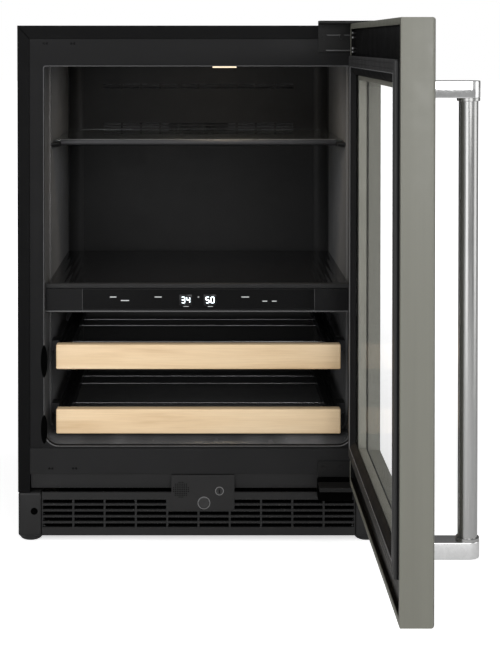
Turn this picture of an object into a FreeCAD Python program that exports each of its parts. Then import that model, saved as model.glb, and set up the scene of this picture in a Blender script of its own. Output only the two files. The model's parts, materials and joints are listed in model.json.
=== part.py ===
import FreeCAD, Part
import Sketcher
import math
import os
import re

"""Undercounter wine and beverage cooler with a glass door, two wine racks and a glass shelf.

Frame: X to the viewer's right, -Y out of the front, +Z up, millimetres. The origin is the centre
of the base pan's underside. The door is drawn shut and then turned open about its hinge axis.
"""

Vector = FreeCAD.Vector

# Driving dimensions, in millimetres and degrees. Heights are above the base pan's underside.
SIZES = {
    # cabinet
    "cab_width": 606, "cab_depth": 570, "cab_top": 855, "floor_gap": 12, "steel": 1,
    "flange": 20, "top_flange": 22, "liner": 2, "open_half": 259, "open_low": 149,
    "open_high": 787, "frame_deep": 12, "frame_low": 145, "inner_half": 256,
    "step_back": 90, "rear_wall": 455, "liner_rear": 505, "corner_round": 27,
    "foam_low": 128, "cord_x": 220, "cord_z": 40,
    # front, below the compartments
    "face_low": 102, "trim_low": 76, "kick_top": 71, "kick_low": -2, "boot_wide": 40,
    "boot_deep": 46, "boot_round": 12, "plug_x": 276, "plug_z": 39,
    "grille_deep": 6, "slot_low": 12, "slot_pitch": 10, "slot_tall": 6.5, "slot_wide": 49.4, "bar_pitch": 52.6,
    # divider and controls
    "divider_top": 411, "divider_low": 376, "control_low": 372, "control_front": 18,
    "control_deep": 60, "shelf_gauge": 6, "glass_half": 196, "display_wide": 21,
    "display_tall": 18, "display_left": -21.5, "display_right": 19.5, "display_height": 392,
    # upper glass shelf
    "ledge_top": 652, "ledge_wide": 13, "ledge_tall": 10, "ledge_long": 345,
    "shelf_front": 118, "shelf_long": 320, "shelf_half": 241.5, "pane": 4,
    # wine racks
    "upper_rack": 274.5, "lower_rack": 165, "wood_tall": 42, "wood_half": 240.8,
    "wood_thick": 20, "wood_front": 17, "rail_front": 40, "rail_long": 395,
    "rail_thick": 4, "rail_tall": 30, "rail_clear": 0.6, "wire": 4,
    # door, measured from the cabinet's front plane outwards
    "door_half": 302, "door_low": 92, "door_high": 858, "door_back": 11, "door_face": 55,
    "plate_back": 18.4, "rim": 9,
    "skin": 1.2, "stile": 50, "window_low": 163, "window_high": 770, "inner_low": 145,
    "inner_high": 805, "seal_half": 281, "seal_wide": 18, "seal_face": 6,
    "hinge_x": 282.5, "hinge_out": 41.5, "pin_radius": 4, "door_open": 90,
    "bracket_left": 200, "bracket_wide": 56,
    # handle
    "handle_x": -266, "handle_radius": 12.5, "handle_out": 47, "handle_low": 171,
    "handle_high": 778, "post_low": 171, "post_tall": 22, "post_half": 15,
}

doc = FreeCAD.newDocument("WineCooler")
sheet = doc.addObject("Spreadsheet::Sheet", "sizes")
for row, (word, number) in enumerate(SIZES.items(), start=1):
    sheet.set(f"A{row}", word)
    sheet.set(f"B{row}", str(number))
    sheet.setAlias(f"B{row}", word)
doc.recompute()

NODES = []
WORDS = re.compile(r"\b(" + "|".join(SIZES) + r")\b")


def formula(text):
    """Point each size word of a formula at its spreadsheet cell."""
    return WORDS.sub(r"sizes.\1", str(text))


def bind(item, **formulas):
    """Bind properties to formulas; a double underscore stands for a dot."""
    for name, text in formulas.items():
        item.setExpression(name.replace("__", "."), formula(text))
    return item


def place(item, x="0", y="0", z="0"):
    """Bind an object's position."""
    return bind(item, Placement__Base__x=x, Placement__Base__y=y, Placement__Base__z=z)


def node(item, name):
    """Make an object a sub-part of the cooler, under the given name."""
    item.Label = name
    NODES.append(item)
    return item


def door_node(item, name):
    """Make an object a sub-part of the door and turn it open about the hinge axis."""
    item.Placement = FreeCAD.Placement(Vector(), FreeCAD.Rotation(Vector(0, 0, 1), 90))
    turn = "(door_open * 1 deg)"
    hinge_y = "(-cab_depth/2 - hinge_out)"
    bind(item, Placement__Rotation__Angle="door_open * 1 deg")
    place(item, x=f"hinge_x - hinge_x*cos{turn} + {hinge_y}*sin{turn}",
          y=f"{hinge_y} - hinge_x*sin{turn} - {hinge_y}*cos{turn}")
    return node(item, name)


def block(x, y, z, wide, deep, tall):
    """Box from its low corner; y is the distance behind the cabinet's front plane."""
    item = doc.addObject("Part::Box", "block")
    bind(item, Length=wide, Width=deep, Height=tall)
    return place(item, x=x, y=f"-cab_depth/2 + ({y})", z=z)


def rod(x, y, z, radius, length, along="z"):
    """Cylinder from the centre of its low end, along one axis."""
    item = doc.addObject("Part::Cylinder", "rod")
    turns = {"x": (Vector(0, 1, 0), 90), "y": (Vector(-1, 0, 0), 90), "z": (Vector(0, 0, 1), 0)}
    item.Placement = FreeCAD.Placement(Vector(), FreeCAD.Rotation(*turns[along]))
    bind(item, Radius=radius, Height=length)
    return place(item, x=x, y=f"-cab_depth/2 + ({y})", z=z)


def group(pieces):
    """Several separate solids that share one sub-part."""
    item = doc.addObject("Part::Compound", "group")
    item.Links = pieces
    return item


def fused(pieces):
    """One solid out of several pieces that meet."""
    item = doc.addObject("Part::MultiFuse", "fused")
    item.Shapes = pieces
    item.Refine = True
    return item


def cut(base, tools):
    """A piece with others taken out of it."""
    item = doc.addObject("Part::Cut", "cut")
    item.Base = base
    item.Tool = tools[0] if len(tools) == 1 else fused(tools)
    return item


def rounded(base, radius, choose):
    """Round the edges of a piece that choose() picks."""
    doc.recompute()
    edges = [number for number, edge in enumerate(base.Shape.Edges, start=1) if choose(edge)]
    item = doc.addObject("Part::Fillet", "rounded")
    item.Base = base
    item.Edges = [(number, radius, radius) for number in edges]
    return item


def runs_along(edge, axis):
    """Whether an edge is straight and lies along an axis."""
    if not isinstance(edge.Curve, Part.Line):
        return False
    return abs(edge.Curve.Direction.dot(axis)) > 0.999


def outline(body, plane, points, offset):
    """Closed straight-sided sketch in a body; each corner is a pair of formulas."""
    sketch = body.newObject("Sketcher::SketchObject", "sketch")
    planes = [item for item in body.Origin.OriginFeatures if item.Role == plane]
    sketch.AttachmentSupport = [(planes[0], "")]
    sketch.MapMode = "FlatFace"
    bind(sketch, AttachmentOffset__Base__z=offset)
    places = [(value_of(across), value_of(up)) for across, up in points]
    for index, start in enumerate(places):
        end = places[(index + 1) % len(places)]
        sketch.addGeometry(Part.LineSegment(Vector(*start, 0), Vector(*end, 0)), False)
    for index in range(len(places)):
        following = (index + 1) % len(places)
        sketch.addConstraint(Sketcher.Constraint("Coincident", index, 2, following, 1))
    for index, (across, up) in enumerate(points):
        for kind, text, value in zip(("DistanceX", "DistanceY"), (across, up), places[index]):
            number = sketch.addConstraint(Sketcher.Constraint(kind, -1, 1, index, 1, value))
            sketch.setExpression(f"Constraints[{number}]", formula(text))
    return sketch


def value_of(text):
    """Number that a formula stands for, worked out in a spare cell of the sheet."""
    sheet.set("D1", f"={text}")
    sheet.recompute()
    return float(sheet.get("D1"))


def padded(plane, points, length, offset="0"):
    """PartDesign body with one padded outline."""
    body = doc.addObject("PartDesign::Body", "body")
    sketch = outline(body, plane, points, offset)
    pad = body.newObject("PartDesign::Pad", "pad")
    pad.Profile = sketch
    bind(pad, Length=length)
    body.Tip = pad
    return body


def frame_body(left, right, low, high, edge, front, deep, radius):
    """Rectangular frame in the XZ plane, padded back from a front depth, opening corners rounded."""
    body = doc.addObject("PartDesign::Body", "frame")
    outer = [(left, low), (right, low), (right, high), (left, high)]
    sketch = outline(body, "XZ_Plane", outer, f"cab_depth/2 - ({front})")
    pad = body.newObject("PartDesign::Pad", "pad")
    pad.Profile = sketch
    pad.Reversed = True
    bind(pad, Length=deep)
    in_left, in_right, in_low, in_high = edge
    inner = [(in_left, in_low), (in_right, in_low), (in_right, in_high), (in_left, in_high)]
    hole = outline(body, "XZ_Plane", inner, f"cab_depth/2 - ({front})")
    pocket = body.newObject("PartDesign::Pocket", "pocket")
    pocket.Profile = hole
    pocket.Type = "ThroughAll"
    pocket.Midplane = True
    body.Tip = pocket
    doc.recompute()
    if radius:
        limits = [value_of(text) for text in edge]
        names = [f"Edge{number}" for number, line in enumerate(pocket.Shape.Edges, start=1)
                 if runs_along(line, Vector(0, 1, 0)) and inside(line, limits)]
        fillet = body.newObject("PartDesign::Fillet", "fillet")
        fillet.Base = (pocket, names)
        fillet.Radius = radius
        body.Tip = fillet
    return body


def inside(line, limits):
    """Whether an edge stands at a low corner of the opening."""
    left, right, low = limits[:3]
    point = line.CenterOfMass
    at_side = min(abs(point.x - left), abs(point.x - right)) < 0.01
    return at_side and abs(point.z - low) < 0.01


# ---------------------------------------------------------------- cabinet shell

def side_panel(name, side):
    """Sheet side with a notch over the boot and a mitred front flange; side is -1 or 1."""
    edge = f"{side}*cab_width/2"
    plate = padded("YZ_Plane", [
        ("-cab_depth/2 + steel", "kick_top"),
        ("-cab_depth/2 + boot_deep", "kick_top"),
        ("-cab_depth/2 + boot_deep", "steel"),
        ("cab_depth/2 - steel", "steel"),
        ("cab_depth/2 - steel", "cab_top - steel"),
        ("-cab_depth/2 + steel", "cab_top - steel")],
        "steel", f"{edge} - ({side} + 1)/2*steel")
    flange = padded("XZ_Plane", [
        (edge, "kick_top"),
        (f"{edge} - {side}*flange", "kick_top"),
        (f"{edge} - {side}*flange", "cab_top - top_flange"),
        (edge, "cab_top")],
        "steel", "cab_depth/2 - steel")
    return node(fused([plate, flange]), name)


def top_panel():
    """Sheet top with a mitred front flange."""
    plate = block("-cab_width/2", "steel", "cab_top - steel", "cab_width", "cab_depth - steel",
                  "steel")
    flange = padded("XZ_Plane", [
        ("-cab_width/2", "cab_top"),
        ("-cab_width/2 + flange", "cab_top - top_flange"),
        ("cab_width/2 - flange", "cab_top - top_flange"),
        ("cab_width/2", "cab_top")],
        "steel", "cab_depth/2 - steel")
    return node(fused([plate, flange]), "top_panel")


def rear_panels():
    """Sheet back over the insulation, and the vented cover over the machine space."""
    node(block("-cab_width/2 + steel", "cab_depth - steel", "foam_low", "cab_width - 2*steel",
               "steel", "cab_top - steel - foam_low"), "rear_panel")
    cover = block("-cab_width/2 + steel", "cab_depth - steel", "2*steel",
                  "cab_width - 2*steel", "steel", "foam_low - 2*steel")
    slots = [block(f"-260 + {column}*45", "cab_depth - 5", f"30 + {line}*14", "36", "10", "6")
             for column in range(9) for line in range(6)]
    slots.append(rod("cord_x", "cab_depth - 5", "cord_z", "8", "10", along="y"))
    node(cut(cover, slots), "machine_cover")
    ring = rod("cord_x", "cab_depth - 6", "cord_z", "7.9", "12", along="y")
    lip = rod("cord_x", "cab_depth", "cord_z", "11", "3", along="y")
    hole = rod("cord_x", "cab_depth - 7", "cord_z", "4", "14", along="y")
    node(cut(fused([ring, lip]), [hole]), "cord_gland")


FOOT_PLACES = [(x, y) for x in ("-255", "255") for y in ("95", "cab_depth - 45")]


def base_pan():
    """Folded tray under the machine space."""
    tray = block("-cab_width/2 + 1.5*steel", "boot_deep + 2", "0", "cab_width - 3*steel",
                 "cab_depth - boot_deep - 6", "24")
    hollow = block("-cab_width/2 + 3.5*steel", "boot_deep + 4", "2", "cab_width - 7*steel",
                   "cab_depth - boot_deep - 10", "30")
    studs = [rod(x, y, "-1", "5", "24") for x, y in FOOT_PLACES]
    return node(cut(tray, [hollow] + studs), "base_pan")


def insulation():
    """Foam slabs between the shell and the liner."""
    wide = "cab_width/2 - steel - open_half - liner"
    high = "cab_top - steel - foam_low"
    deep = "cab_depth - steel - frame_deep - 2"
    inner = "2*(open_half + liner)"
    start = "frame_deep + 2"
    slabs = [
        block("-cab_width/2 + steel", start, "foam_low", wide, deep, high),
        block("open_half + liner", start, "foam_low", wide, deep, high),
        block("-open_half - liner", "liner_rear + liner", "foam_low", inner,
              "cab_depth - steel - liner_rear - liner", high),
        block("-open_half - liner", start, "open_high + liner", inner,
              "liner_rear + liner - frame_deep - 2", "cab_top - steel - open_high - liner"),
        block("-open_half - liner", start, "foam_low", inner,
              "liner_rear + liner - frame_deep - 2", "open_low - liner - foam_low")]
    return node(group(slabs), "insulation")


def liner_wall(side):
    """Side wall of the compartments, stepping inwards behind the front zone."""
    front = "-cab_depth/2 + frame_deep + 1"
    return padded("XY_Plane", [
        (f"{side}*(open_half + liner)", front),
        (f"{side}*open_half", front),
        (f"{side}*open_half", "-cab_depth/2 + step_back"),
        (f"{side}*inner_half", "-cab_depth/2 + step_back"),
        (f"{side}*inner_half", "-cab_depth/2 + liner_rear"),
        (f"{side}*(open_half + liner)", "-cab_depth/2 + liner_rear")],
        "open_high - open_low", "open_low")


def liner():
    """Inner walls, ceiling and floor of the compartments, meeting edge to edge."""
    start = "frame_deep + 1"
    wide = "2*(open_half + liner)"
    deep = "liner_rear - frame_deep - 1"
    ceiling = block("-open_half - liner", start, "open_high", wide, deep, "liner")
    floor = block("-open_half - liner", start, "open_low - liner", wide, deep, "liner")
    rear = block("-open_half - liner", "liner_rear", "open_low - liner", wide, "liner",
                 "open_high - open_low + 2*liner")
    node(group([liner_wall(-1), liner_wall(1), ceiling, floor, rear]), "liner")


def evaporator_cover():
    """Moulded back wall with rounded corners and two bands of air slots."""
    half = "inner_half - 0.3"
    high = "open_high - open_low - 1"
    low = "open_low + 0.5"
    plate = block(f"-({half})", "rear_wall", low, f"2*({half})", "2", high)
    corners = []
    for side in (-1, 1):
        start = f"{side}*(inner_half - 0.3) - ({side} + 1)/2*corner_round"
        solid = block(start, "rear_wall - corner_round", low, "corner_round",
                      "corner_round", high)
        tube = rod(f"{side}*(inner_half - 0.3 - corner_round)", "rear_wall - corner_round",
                   "open_low", "corner_round - 1.5", "open_high - open_low")
        corners.append(cut(solid, [tube]))
    slots = []
    for level in (646, 652, 658, 664, 736, 742):
        for column in range(-5, 5):
            slots.append(block(f"{column}*38 + 2", "rear_wall - 3", level, "34", "8", "3"))
    return node(cut(fused([plate] + corners), slots), "evaporator_cover")


def face_frame():
    """Breaker frame around the opening, its two low corners rounded."""
    frame = frame_body("-cab_width/2 + flange", "cab_width/2 - flange", "frame_low",
                       "cab_top - top_flange",
                       ("-open_half", "open_half", "open_low", "open_high"),
                       "0.6", "frame_deep", 25)
    return node(frame, "face_frame")


# ---------------------------------------------------------------- lower front

BUTTON = ("9.2", "53.6", "9")
LOCK = ("35.3", "73.7", "6")


def lower_front():
    """Lower face panel, sloping trim, grille with boots, and the plate that holds the controls."""
    node(block("-cab_width/2 + flange", "0.8", "face_low", "cab_width - 2*flange", "2",
               "frame_low - face_low"), "lower_face_panel")
    trim = padded("YZ_Plane", [
        ("-cab_depth/2 + 3.5", "face_low"),
        ("-cab_depth/2 + 9", "trim_low"),
        ("-cab_depth/2 + 11", "trim_low"),
        ("-cab_depth/2 + 5.5", "face_low")],
        "cab_width - 2*flange - 2", "-cab_width/2 + flange + 1")
    barrel_way = rod(LOCK[0], "-5", LOCK[1], f"{LOCK[2]} + 0.6", "40", along="y")
    node(cut(trim, [barrel_way]), "lower_trim")
    half = "(cab_width/2 - boot_wide)"
    plate = block(f"-{half}", "0.5", "kick_low", f"2*{half}", "grille_deep",
                  "kick_top - kick_low")
    holes = [rod(LOCK[0], "-5", LOCK[1], f"{LOCK[2]} + 0.6", "40", along="y"),
             rod(BUTTON[0], "-5", BUTTON[1], f"{BUTTON[2]} + 0.6", "40", along="y")]
    for column in range(10):
        for line in range(5):
            behind_plate = column in (4, 5) and line in (3, 4)
            if not behind_plate:
                holes.append(block(f"-{half} + {column}*bar_pitch + 1.6", "0",
                                   f"slot_low + {line}*slot_pitch", "slot_wide",
                                   "grille_deep + 2", "slot_tall"))
    node(cut(plate, holes), "toe_grille")
    boots = [boot(side) for side in (-1, 1)]
    node(group(boots), "toe_boots")


def boot(side):
    """Corner boot that stands on the floor, its outer front edge rounded; with a plug hole."""
    low_x = f"{side}*(cab_width/2 - boot_wide/2) - boot_wide/2"
    shape = block(low_x, "0", "-floor_gap", "boot_wide", "boot_deep", "kick_top + floor_gap")
    outer = side * SIZES["cab_width"] / 2
    soft = rounded(shape, SIZES["boot_round"], lambda edge: is_outer_front(edge, outer))
    hollow = block(f"{low_x} + 2.5", "3", "-floor_gap + 6", "boot_wide - 5", "boot_deep",
                   "kick_top + floor_gap - 8")
    hole = rod(f"{side}*plug_x", "-1", "plug_z", "6", "8", along="y")
    return cut(soft, [hollow, hole])


def is_outer_front(edge, outer):
    """Whether an edge is upright at the cabinet's outer front corner."""
    front = -SIZES["cab_depth"] / 2
    point = edge.CenterOfMass
    at_corner = abs(point.x - outer) < 0.01 and abs(point.y - front) < 0.01
    return at_corner and runs_along(edge, Vector(0, 0, 1))


def control_plate():
    """Raised plate in the grille's middle, with sounder holes, and its button and lock."""
    plate = block("-45.4", "-1.5", "42.6", "105.8", "2", "58")
    holes = [rod(LOCK[0], "-3", LOCK[1], f"{LOCK[2]} + 0.1", "8", along="y"),
             rod(BUTTON[0], "-3", BUTTON[1], f"{BUTTON[2]} + 0.3", "8", along="y")]
    for column in range(-4, 5):
        for line in range(-4, 5):
            if math.hypot(column, line) < 4.3:
                holes.append(rod(f"-29.4 + {column}*3.1", "-3", f"76 + {line}*3.1", "0.7", "8",
                                 along="y"))
    node(cut(plate, holes), "grille_centre_plate")
    cap = rod(BUTTON[0], "-4", BUTTON[1], BUTTON[2], "9", along="y")
    node(cap, "power_button")
    barrel = rod(LOCK[0], "-2.5", LOCK[1], LOCK[2], "22", along="y")
    keyway = block(f"{LOCK[0]} - 0.8", "-3", f"{LOCK[1]} - 3.5", "1.6", "12", "7")
    node(cut(barrel, [keyway]), "lock_cylinder")


def feet():
    """Four levelling feet: a stud and a pad each."""
    pieces = []
    for x, y in FOOT_PLACES:
        stud = rod(x, y, "-6", "5", "24")
        pad = rod(x, y, "-floor_gap", "17", "6")
        pieces.append(fused([stud, pad]))
    node(group(pieces), "levelling_feet")


# ---------------------------------------------------------------- inside

def divider():
    """Insulated divider, its front control housing, glass face, displays and shelf."""
    half = "(open_half - 0.5)"
    case = block(f"-{half}", "control_front", "control_low", f"2*{half}", "control_deep",
                 "divider_top - control_low")
    window = block("-glass_half - 0.3", "control_front - 1", "control_low + 5",
                   "2*glass_half + 0.6", "3", "divider_top - control_low - 7")
    wells = [block(f"{place_x} - display_wide/2 - 0.2", "control_front",
                   "display_height - display_tall/2 - 0.2", "display_wide + 0.4", "8",
                   "display_tall + 0.4") for place_x in ("display_left", "display_right")]
    node(cut(case, [window] + wells), "control_housing")
    node(block("-glass_half", "control_front - 0.5", "control_low + 5.3", "2*glass_half", "2.3",
               "divider_top - control_low - 7.6"), "control_glass")
    screens = [block(f"{place_x} - display_wide/2", "control_front + 2.2",
                     "display_height - display_tall/2", "display_wide", "5", "display_tall")
               for place_x in ("display_left", "display_right")]
    node(group(screens), "display_modules")
    node(block("-(inner_half - 0.3)", "step_back + 0.5", "divider_low",
               "2*(inner_half - 0.3)", "rear_wall - corner_round - step_back - 2",
               "divider_top - divider_low"), "zone_divider")
    node(block("-(inner_half - 0.5)", "control_front + 8", "divider_top",
               "2*(inner_half - 0.5)", "rear_wall - corner_round - control_front - 10",
               "shelf_gauge"), "divider_shelf")
    node(block(f"-{half}", "control_front", "divider_top", f"2*{half}", "8",
               "shelf_gauge + 3"), "divider_trim")


def ledges():
    """Two ledges that carry the glass shelf."""
    pieces = [block(f"{side}*(inner_half - ledge_wide/2) - ledge_wide/2", "step_back + 2",
                    "ledge_top - ledge_tall", "ledge_wide", "ledge_long - 20", "ledge_tall")
              for side in (-1, 1)]
    node(group(pieces), "shelf_ledges")


def glass_shelf():
    """Glass shelf that pulls out on the ledges, with a metal trim on its front edge."""
    node(block("-(inner_half - 4)", "shelf_front + 3", "ledge_top + 0.2", "2*(inner_half - 4)",
               "shelf_long - 10", "pane"), "glass_shelf")
    bar = block("-shelf_half", "shelf_front", "ledge_top - 6", "2*shelf_half", "9",
                "pane + 7")
    groove = block("-shelf_half - 20", "shelf_front + 3", "ledge_top + 0.2",
                   "2*shelf_half + 40", "20", "pane")
    node(cut(bar, [groove]), "shelf_trim")


def slide_member(side, inner_edge, low, tall):
    """One flat slide member with a rolled lip along its top and bottom edge."""
    low_x = f"{side}*({inner_edge} + rail_thick/2) - rail_thick/2"
    web = block(low_x, "rail_front", low, "rail_thick", "rail_long", tall)
    way = block(f"{side}*({inner_edge} + 0.6) - 0.6", "rail_front - 1",
                f"{low} + 3", "1.2", "rail_long + 2", f"{tall} - 6")
    return cut(web, [way])


SLIDE_STEP = "(rail_thick + rail_clear)"
CASE_EDGE = "(wood_half - rail_thick - 0.3)"


def rack_slides(rack):
    """Cabinet, middle and rack members of both slides of one rack."""
    low = f"({rack} + 8)"
    case, middle, inner = [], [], []
    for side in (-1, 1):
        case.append(slide_member(side, CASE_EDGE, low, "rail_tall"))
        middle.append(slide_member(side, f"{CASE_EDGE} - {SLIDE_STEP}", f"{low} + 3",
                                   "rail_tall - 6"))
        inner.append(slide_member(side, f"{CASE_EDGE} - 2*{SLIDE_STEP}", f"{low} + 6",
                                  "rail_tall - 12"))
        for depth in ("step_back + 10", "rear_wall - corner_round - 50"):
            width = f"(inner_half - {CASE_EDGE} - rail_thick)"
            low_x = f"{side}*({CASE_EDGE} + rail_thick + {width}/2) - {width}/2"
            case.append(block(low_x, depth, f"{low} + 6", width, "30", "rail_tall - 12"))
    node(group(middle), f"{rack}_slide_middles")
    return case, inner


def rack(name):
    """Pull-out rack: wood front, steel side rails, and rods under the bottles."""
    case, inner = rack_slides(name)
    low = name
    front = block("-wood_half", "wood_front", low, "2*wood_half", "wood_thick", "wood_tall")
    soft = rounded(front, 2, lambda edge: runs_along(edge, Vector(1, 0, 0)))
    node(soft, f"{name}_front")
    reach = f"({CASE_EDGE} - 2*{SLIDE_STEP} - 0.4)"
    behind = "wood_front + wood_thick"
    deep = "(rail_long + rail_front - wood_front - wood_thick)"
    pieces = [block(f"{side}*({reach} - 3) - 3", behind, f"{low} + 14", "6", deep, "16")
              for side in (-1, 1)]
    for depth in (behind, "rail_front + rail_long - 6"):
        pieces.append(block(f"-{reach} + 6", depth, f"{low} + 14", f"2*{reach} - 12", "6", "12"))
    node(group(pieces + inner), f"{name}_frame")
    rods = []
    for depth in (90, 150, 300, 360):
        rods.append(rod(f"-{reach} + 6", f"{depth}", f"{low} + 20", "wire/2",
                        f"2*{reach} - 12", along="x"))
    node(group(rods), f"{name}_rods")
    return case


def cooling_parts():
    """Evaporator, fans, compressor, condenser, drain pan, control board and ceiling light."""
    fins = [block(f"-190 + {index}*8", "rear_wall + 8", "430", "1", "36", "150")
            for index in range(48)]
    tubes = [rod("-196", "rear_wall + 26", f"440 + {index}*26", "4", "392", along="x")
             for index in range(6)]
    node(fused(fins + tubes), "evaporator_coil")
    node(fused([rod("0", "rear_wall + 30", "660", "20", "18", along="y"),
                block("-60", "rear_wall + 46", "655", "120", "3", "10")]),
         "evaporator_fan_motor")
    node(fan_rotor("0", "rear_wall + 12", "660", 42, 12), "evaporator_fan_rotor")
    shell = rod("150", "420", "4", "62", "84")
    dome = rod("150", "420", "88", "50", "22")
    legs = block("70", "350", "2", "160", "140", "4")
    node(fused([shell, dome, legs]), "compressor")
    fins = [block(f"-236 + {index}*10", "70", "14", "1", "46", "96") for index in range(36)]
    tubes = [rod("-242", f"82 + {row}*22", f"24 + {index}*24", "4", "372", along="x")
             for index in range(4) for row in range(2)]
    node(fused(fins + tubes), "condenser")
    node(fused([rod("-40", "170", "62", "24", "22", along="y"),
                block("-110", "186", "56", "140", "3", "12"),
                block("-110", "186", "2", "8", "3", "66"),
                block("22", "186", "2", "8", "3", "66")]), "condenser_fan_motor")
    node(fan_rotor("-40", "144", "62", 48, 20), "condenser_fan_rotor")
    tray = block("60", "340", "112", "190", "150", "12")
    node(cut(tray, [block("62", "342", "114", "186", "146", "20")]), "drain_pan")
    node(block("-250", "400", "2", "120", "90", "50"), "control_board_box")
    node(block("24", "20", "open_high - 3", "40", "26", "3"), "ceiling_light")


def fan_rotor(x, y, z, radius, deep):
    """Fan rotor that turns about the Y axis: a hub and five pitched blades."""
    hub = rod(x, y, z, f"{radius}*0.32", deep, along="y")
    blades = []
    for index in range(5):
        blade = doc.addObject("Part::Box", "blade")
        bind(blade, Length=f"{radius}*0.76", Width=f"{deep}*0.9", Height="1.2")
        spin = FreeCAD.Rotation(Vector(0, 1, 0), 20 + 72 * index)
        pitch = FreeCAD.Rotation(Vector(1, 0, 0), 28)
        blade.Placement = FreeCAD.Placement(Vector(), spin.multiply(pitch))
        start = spin.multVec(Vector(radius * 0.22, 0, 0))
        place(blade, x=f"{x} + {start.x:.4f}", y=f"-cab_depth/2 + {y} + 1",
              z=f"{z} + {start.z:.4f}")
        blades.append(blade)
    return fused([hub] + blades)


# ---------------------------------------------------------------- hinges

def hinge_bracket(low, tall, arm_low, arm_tall):
    """Cabinet hinge bracket: a plate on the front and an arm out to the pin."""
    plate = block("bracket_left", "-2", low, "bracket_wide", "2", tall)
    arm = block("bracket_left", "-hinge_out", arm_low, "hinge_x - bracket_left", "hinge_out",
                arm_tall)
    end = rod("hinge_x", "-hinge_out", arm_low, "10", arm_tall)
    tie = block("hinge_x - 1", "-hinge_out", arm_low, "11", "hinge_out", arm_tall)
    eye = rod("hinge_x", "-hinge_out", f"{arm_low} - 1", "pin_radius", f"{arm_tall} + 2")
    return cut(fused([plate, arm, end, tie]), [eye])


def hinges():
    """Both brackets, their pins, and the screws that hold them."""
    node(hinge_bracket("64", "60", "84", "7"), "lower_hinge_bracket")
    node(hinge_bracket("811", "51.6", "door_high + 0.6", "4"), "upper_hinge_bracket")
    node(group([rod("hinge_x", "-hinge_out", "84", "pin_radius", "26"),
                rod("hinge_x", "-hinge_out", "door_high - 18", "pin_radius", "22.6")]),
         "hinge_pins")
    heads = [rod(x, "-4", z, "4.5", "2", along="y")
             for x, z in (("210", "112"), ("238", "112"), ("211", "836"), ("240", "836"))]
    node(group(heads), "hinge_screws")


# ---------------------------------------------------------------- door, drawn shut

def door_ring(outer, opening, front, deep):
    """Rectangular ring; outer and opening are half width, low and high; front is outwards."""
    half, low, high = outer
    in_half, in_low, in_high = opening
    body = block(f"-{half}", f"-({front})", low, f"2*{half}", deep, f"{high} - ({low})")
    hole = block(f"-{in_half}", f"-({front}) - 1", in_low, f"2*{in_half}", f"{deep} + 2",
                 f"{in_high} - ({in_low})")
    return cut(body, [hole])


def door():
    """Panel skin, insulated core, inner frame, gasket, double glazing, bushes and handle."""
    around = ("door_half", "door_low", "door_high")
    window = ("(door_half - stile - 2)", "window_low", "window_high")
    within = ("(door_half - skin)", "(door_low + skin)", "(door_high - skin)")
    reveal = ("(door_half - stile - 2 + skin)", "(window_low - skin)", "(window_high + skin)")
    seat = ("(door_half - stile + 6)", "(window_low - 8)", "(window_high + 8)")
    eyes = [rod("hinge_x", "-hinge_out", "door_low - 1", "8", "26"),
            rod("hinge_x", "-hinge_out", "door_high - 25", "8", "26")]

    full = door_ring(around, window, "door_face", "door_face - door_back")
    filling = door_ring(within, reveal, "door_face - skin", "door_face - skin - plate_back")
    rim_recess = block("-(door_half - rim)", "-plate_back", "door_low + rim",
                       "2*door_half - rim - skin", "plate_back", "door_high - door_low - 2*rim")
    seat_cut = block(f"-{seat[0]}", "-35.2", seat[1], f"2*{seat[0]}", "35.2 - door_back + 2",
                     f"{seat[2]} - {seat[1]}")
    door_node(cut(full, [filling, seat_cut, rim_recess] + eyes), "door_skin")
    front_core = door_ring(within, reveal, "door_face - skin", "door_face - skin - 35.2")
    rebate = door_ring(within, seat, "35.2", "35.2 - plate_back")
    core_eyes = [rod("hinge_x", "-hinge_out", "door_low - 1", "8", "26"),
                 rod("hinge_x", "-hinge_out", "door_high - 25", "8", "26")]
    door_node(cut(fused([front_core, rebate]), core_eyes), "door_core")

    wide_window = ("(door_half - stile + 8)", "(window_low - 10)", "(window_high + 10)")
    edge = ("seal_half", "inner_low", "inner_high")
    seal = ("(seal_half - seal_wide)", "(inner_low + seal_wide)", "(inner_high - seal_wide)")
    lip = tuple(f"({text} {sign} 0.5)" for text, sign in zip(seal, "-+-"))
    sheet_black = block("-(door_half - rim - 0.2)", "-plate_back", "door_low + rim + 0.2",
                        "2*door_half - rim - skin - 0.4", "1.2",
                        "door_high - door_low - 2*rim - 0.4")
    way = block(f"-{wide_window[0]}", "-plate_back - 1", wide_window[1], f"2*{wide_window[0]}",
                "4", f"{wide_window[2]} - {wide_window[1]}")
    plate = cut(sheet_black, [way])
    neck = door_ring(edge, wide_window, "plate_back - 1", "2.6")
    ledge = door_ring(edge, window, "plate_back - 3.5", "plate_back - 13.5")
    ring = door_ring(lip, window, "10.1", "3.1")
    door_node(fused([plate, neck, ledge, ring]), "door_inner_frame")
    door_node(door_ring(edge, seal, "door_back - 1.2", "door_back - 1.2 - seal_face"),
              "door_gasket")

    pane = ("(door_half - stile + 5.7)", "(window_low - 7.7)", "(window_high + 7.7)")
    lift = f"{pane[2]} - {pane[1]}"
    panes = [block(f"-{pane[0]}", front, pane[1], f"2*{pane[0]}", "pane", lift)
             for front in ("-35.2", "-19.2")]
    door_node(group(panes), "door_panes")
    gap = ("(door_half - stile - 6)", "(window_low + 4)", "(window_high - 4)")
    door_node(door_ring(pane, gap, "31.2", "12"), "glass_spacer")

    bushes = []
    for low in ("door_low", "door_high - 24"):
        tube = rod("hinge_x", "-hinge_out", low, "7.9", "24")
        bushes.append(cut(tube, [rod("hinge_x", "-hinge_out", f"{low} - 1", "pin_radius + 0.06",
                                     "26")]))
    door_node(group(bushes), "hinge_bushes")
    handle()


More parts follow.
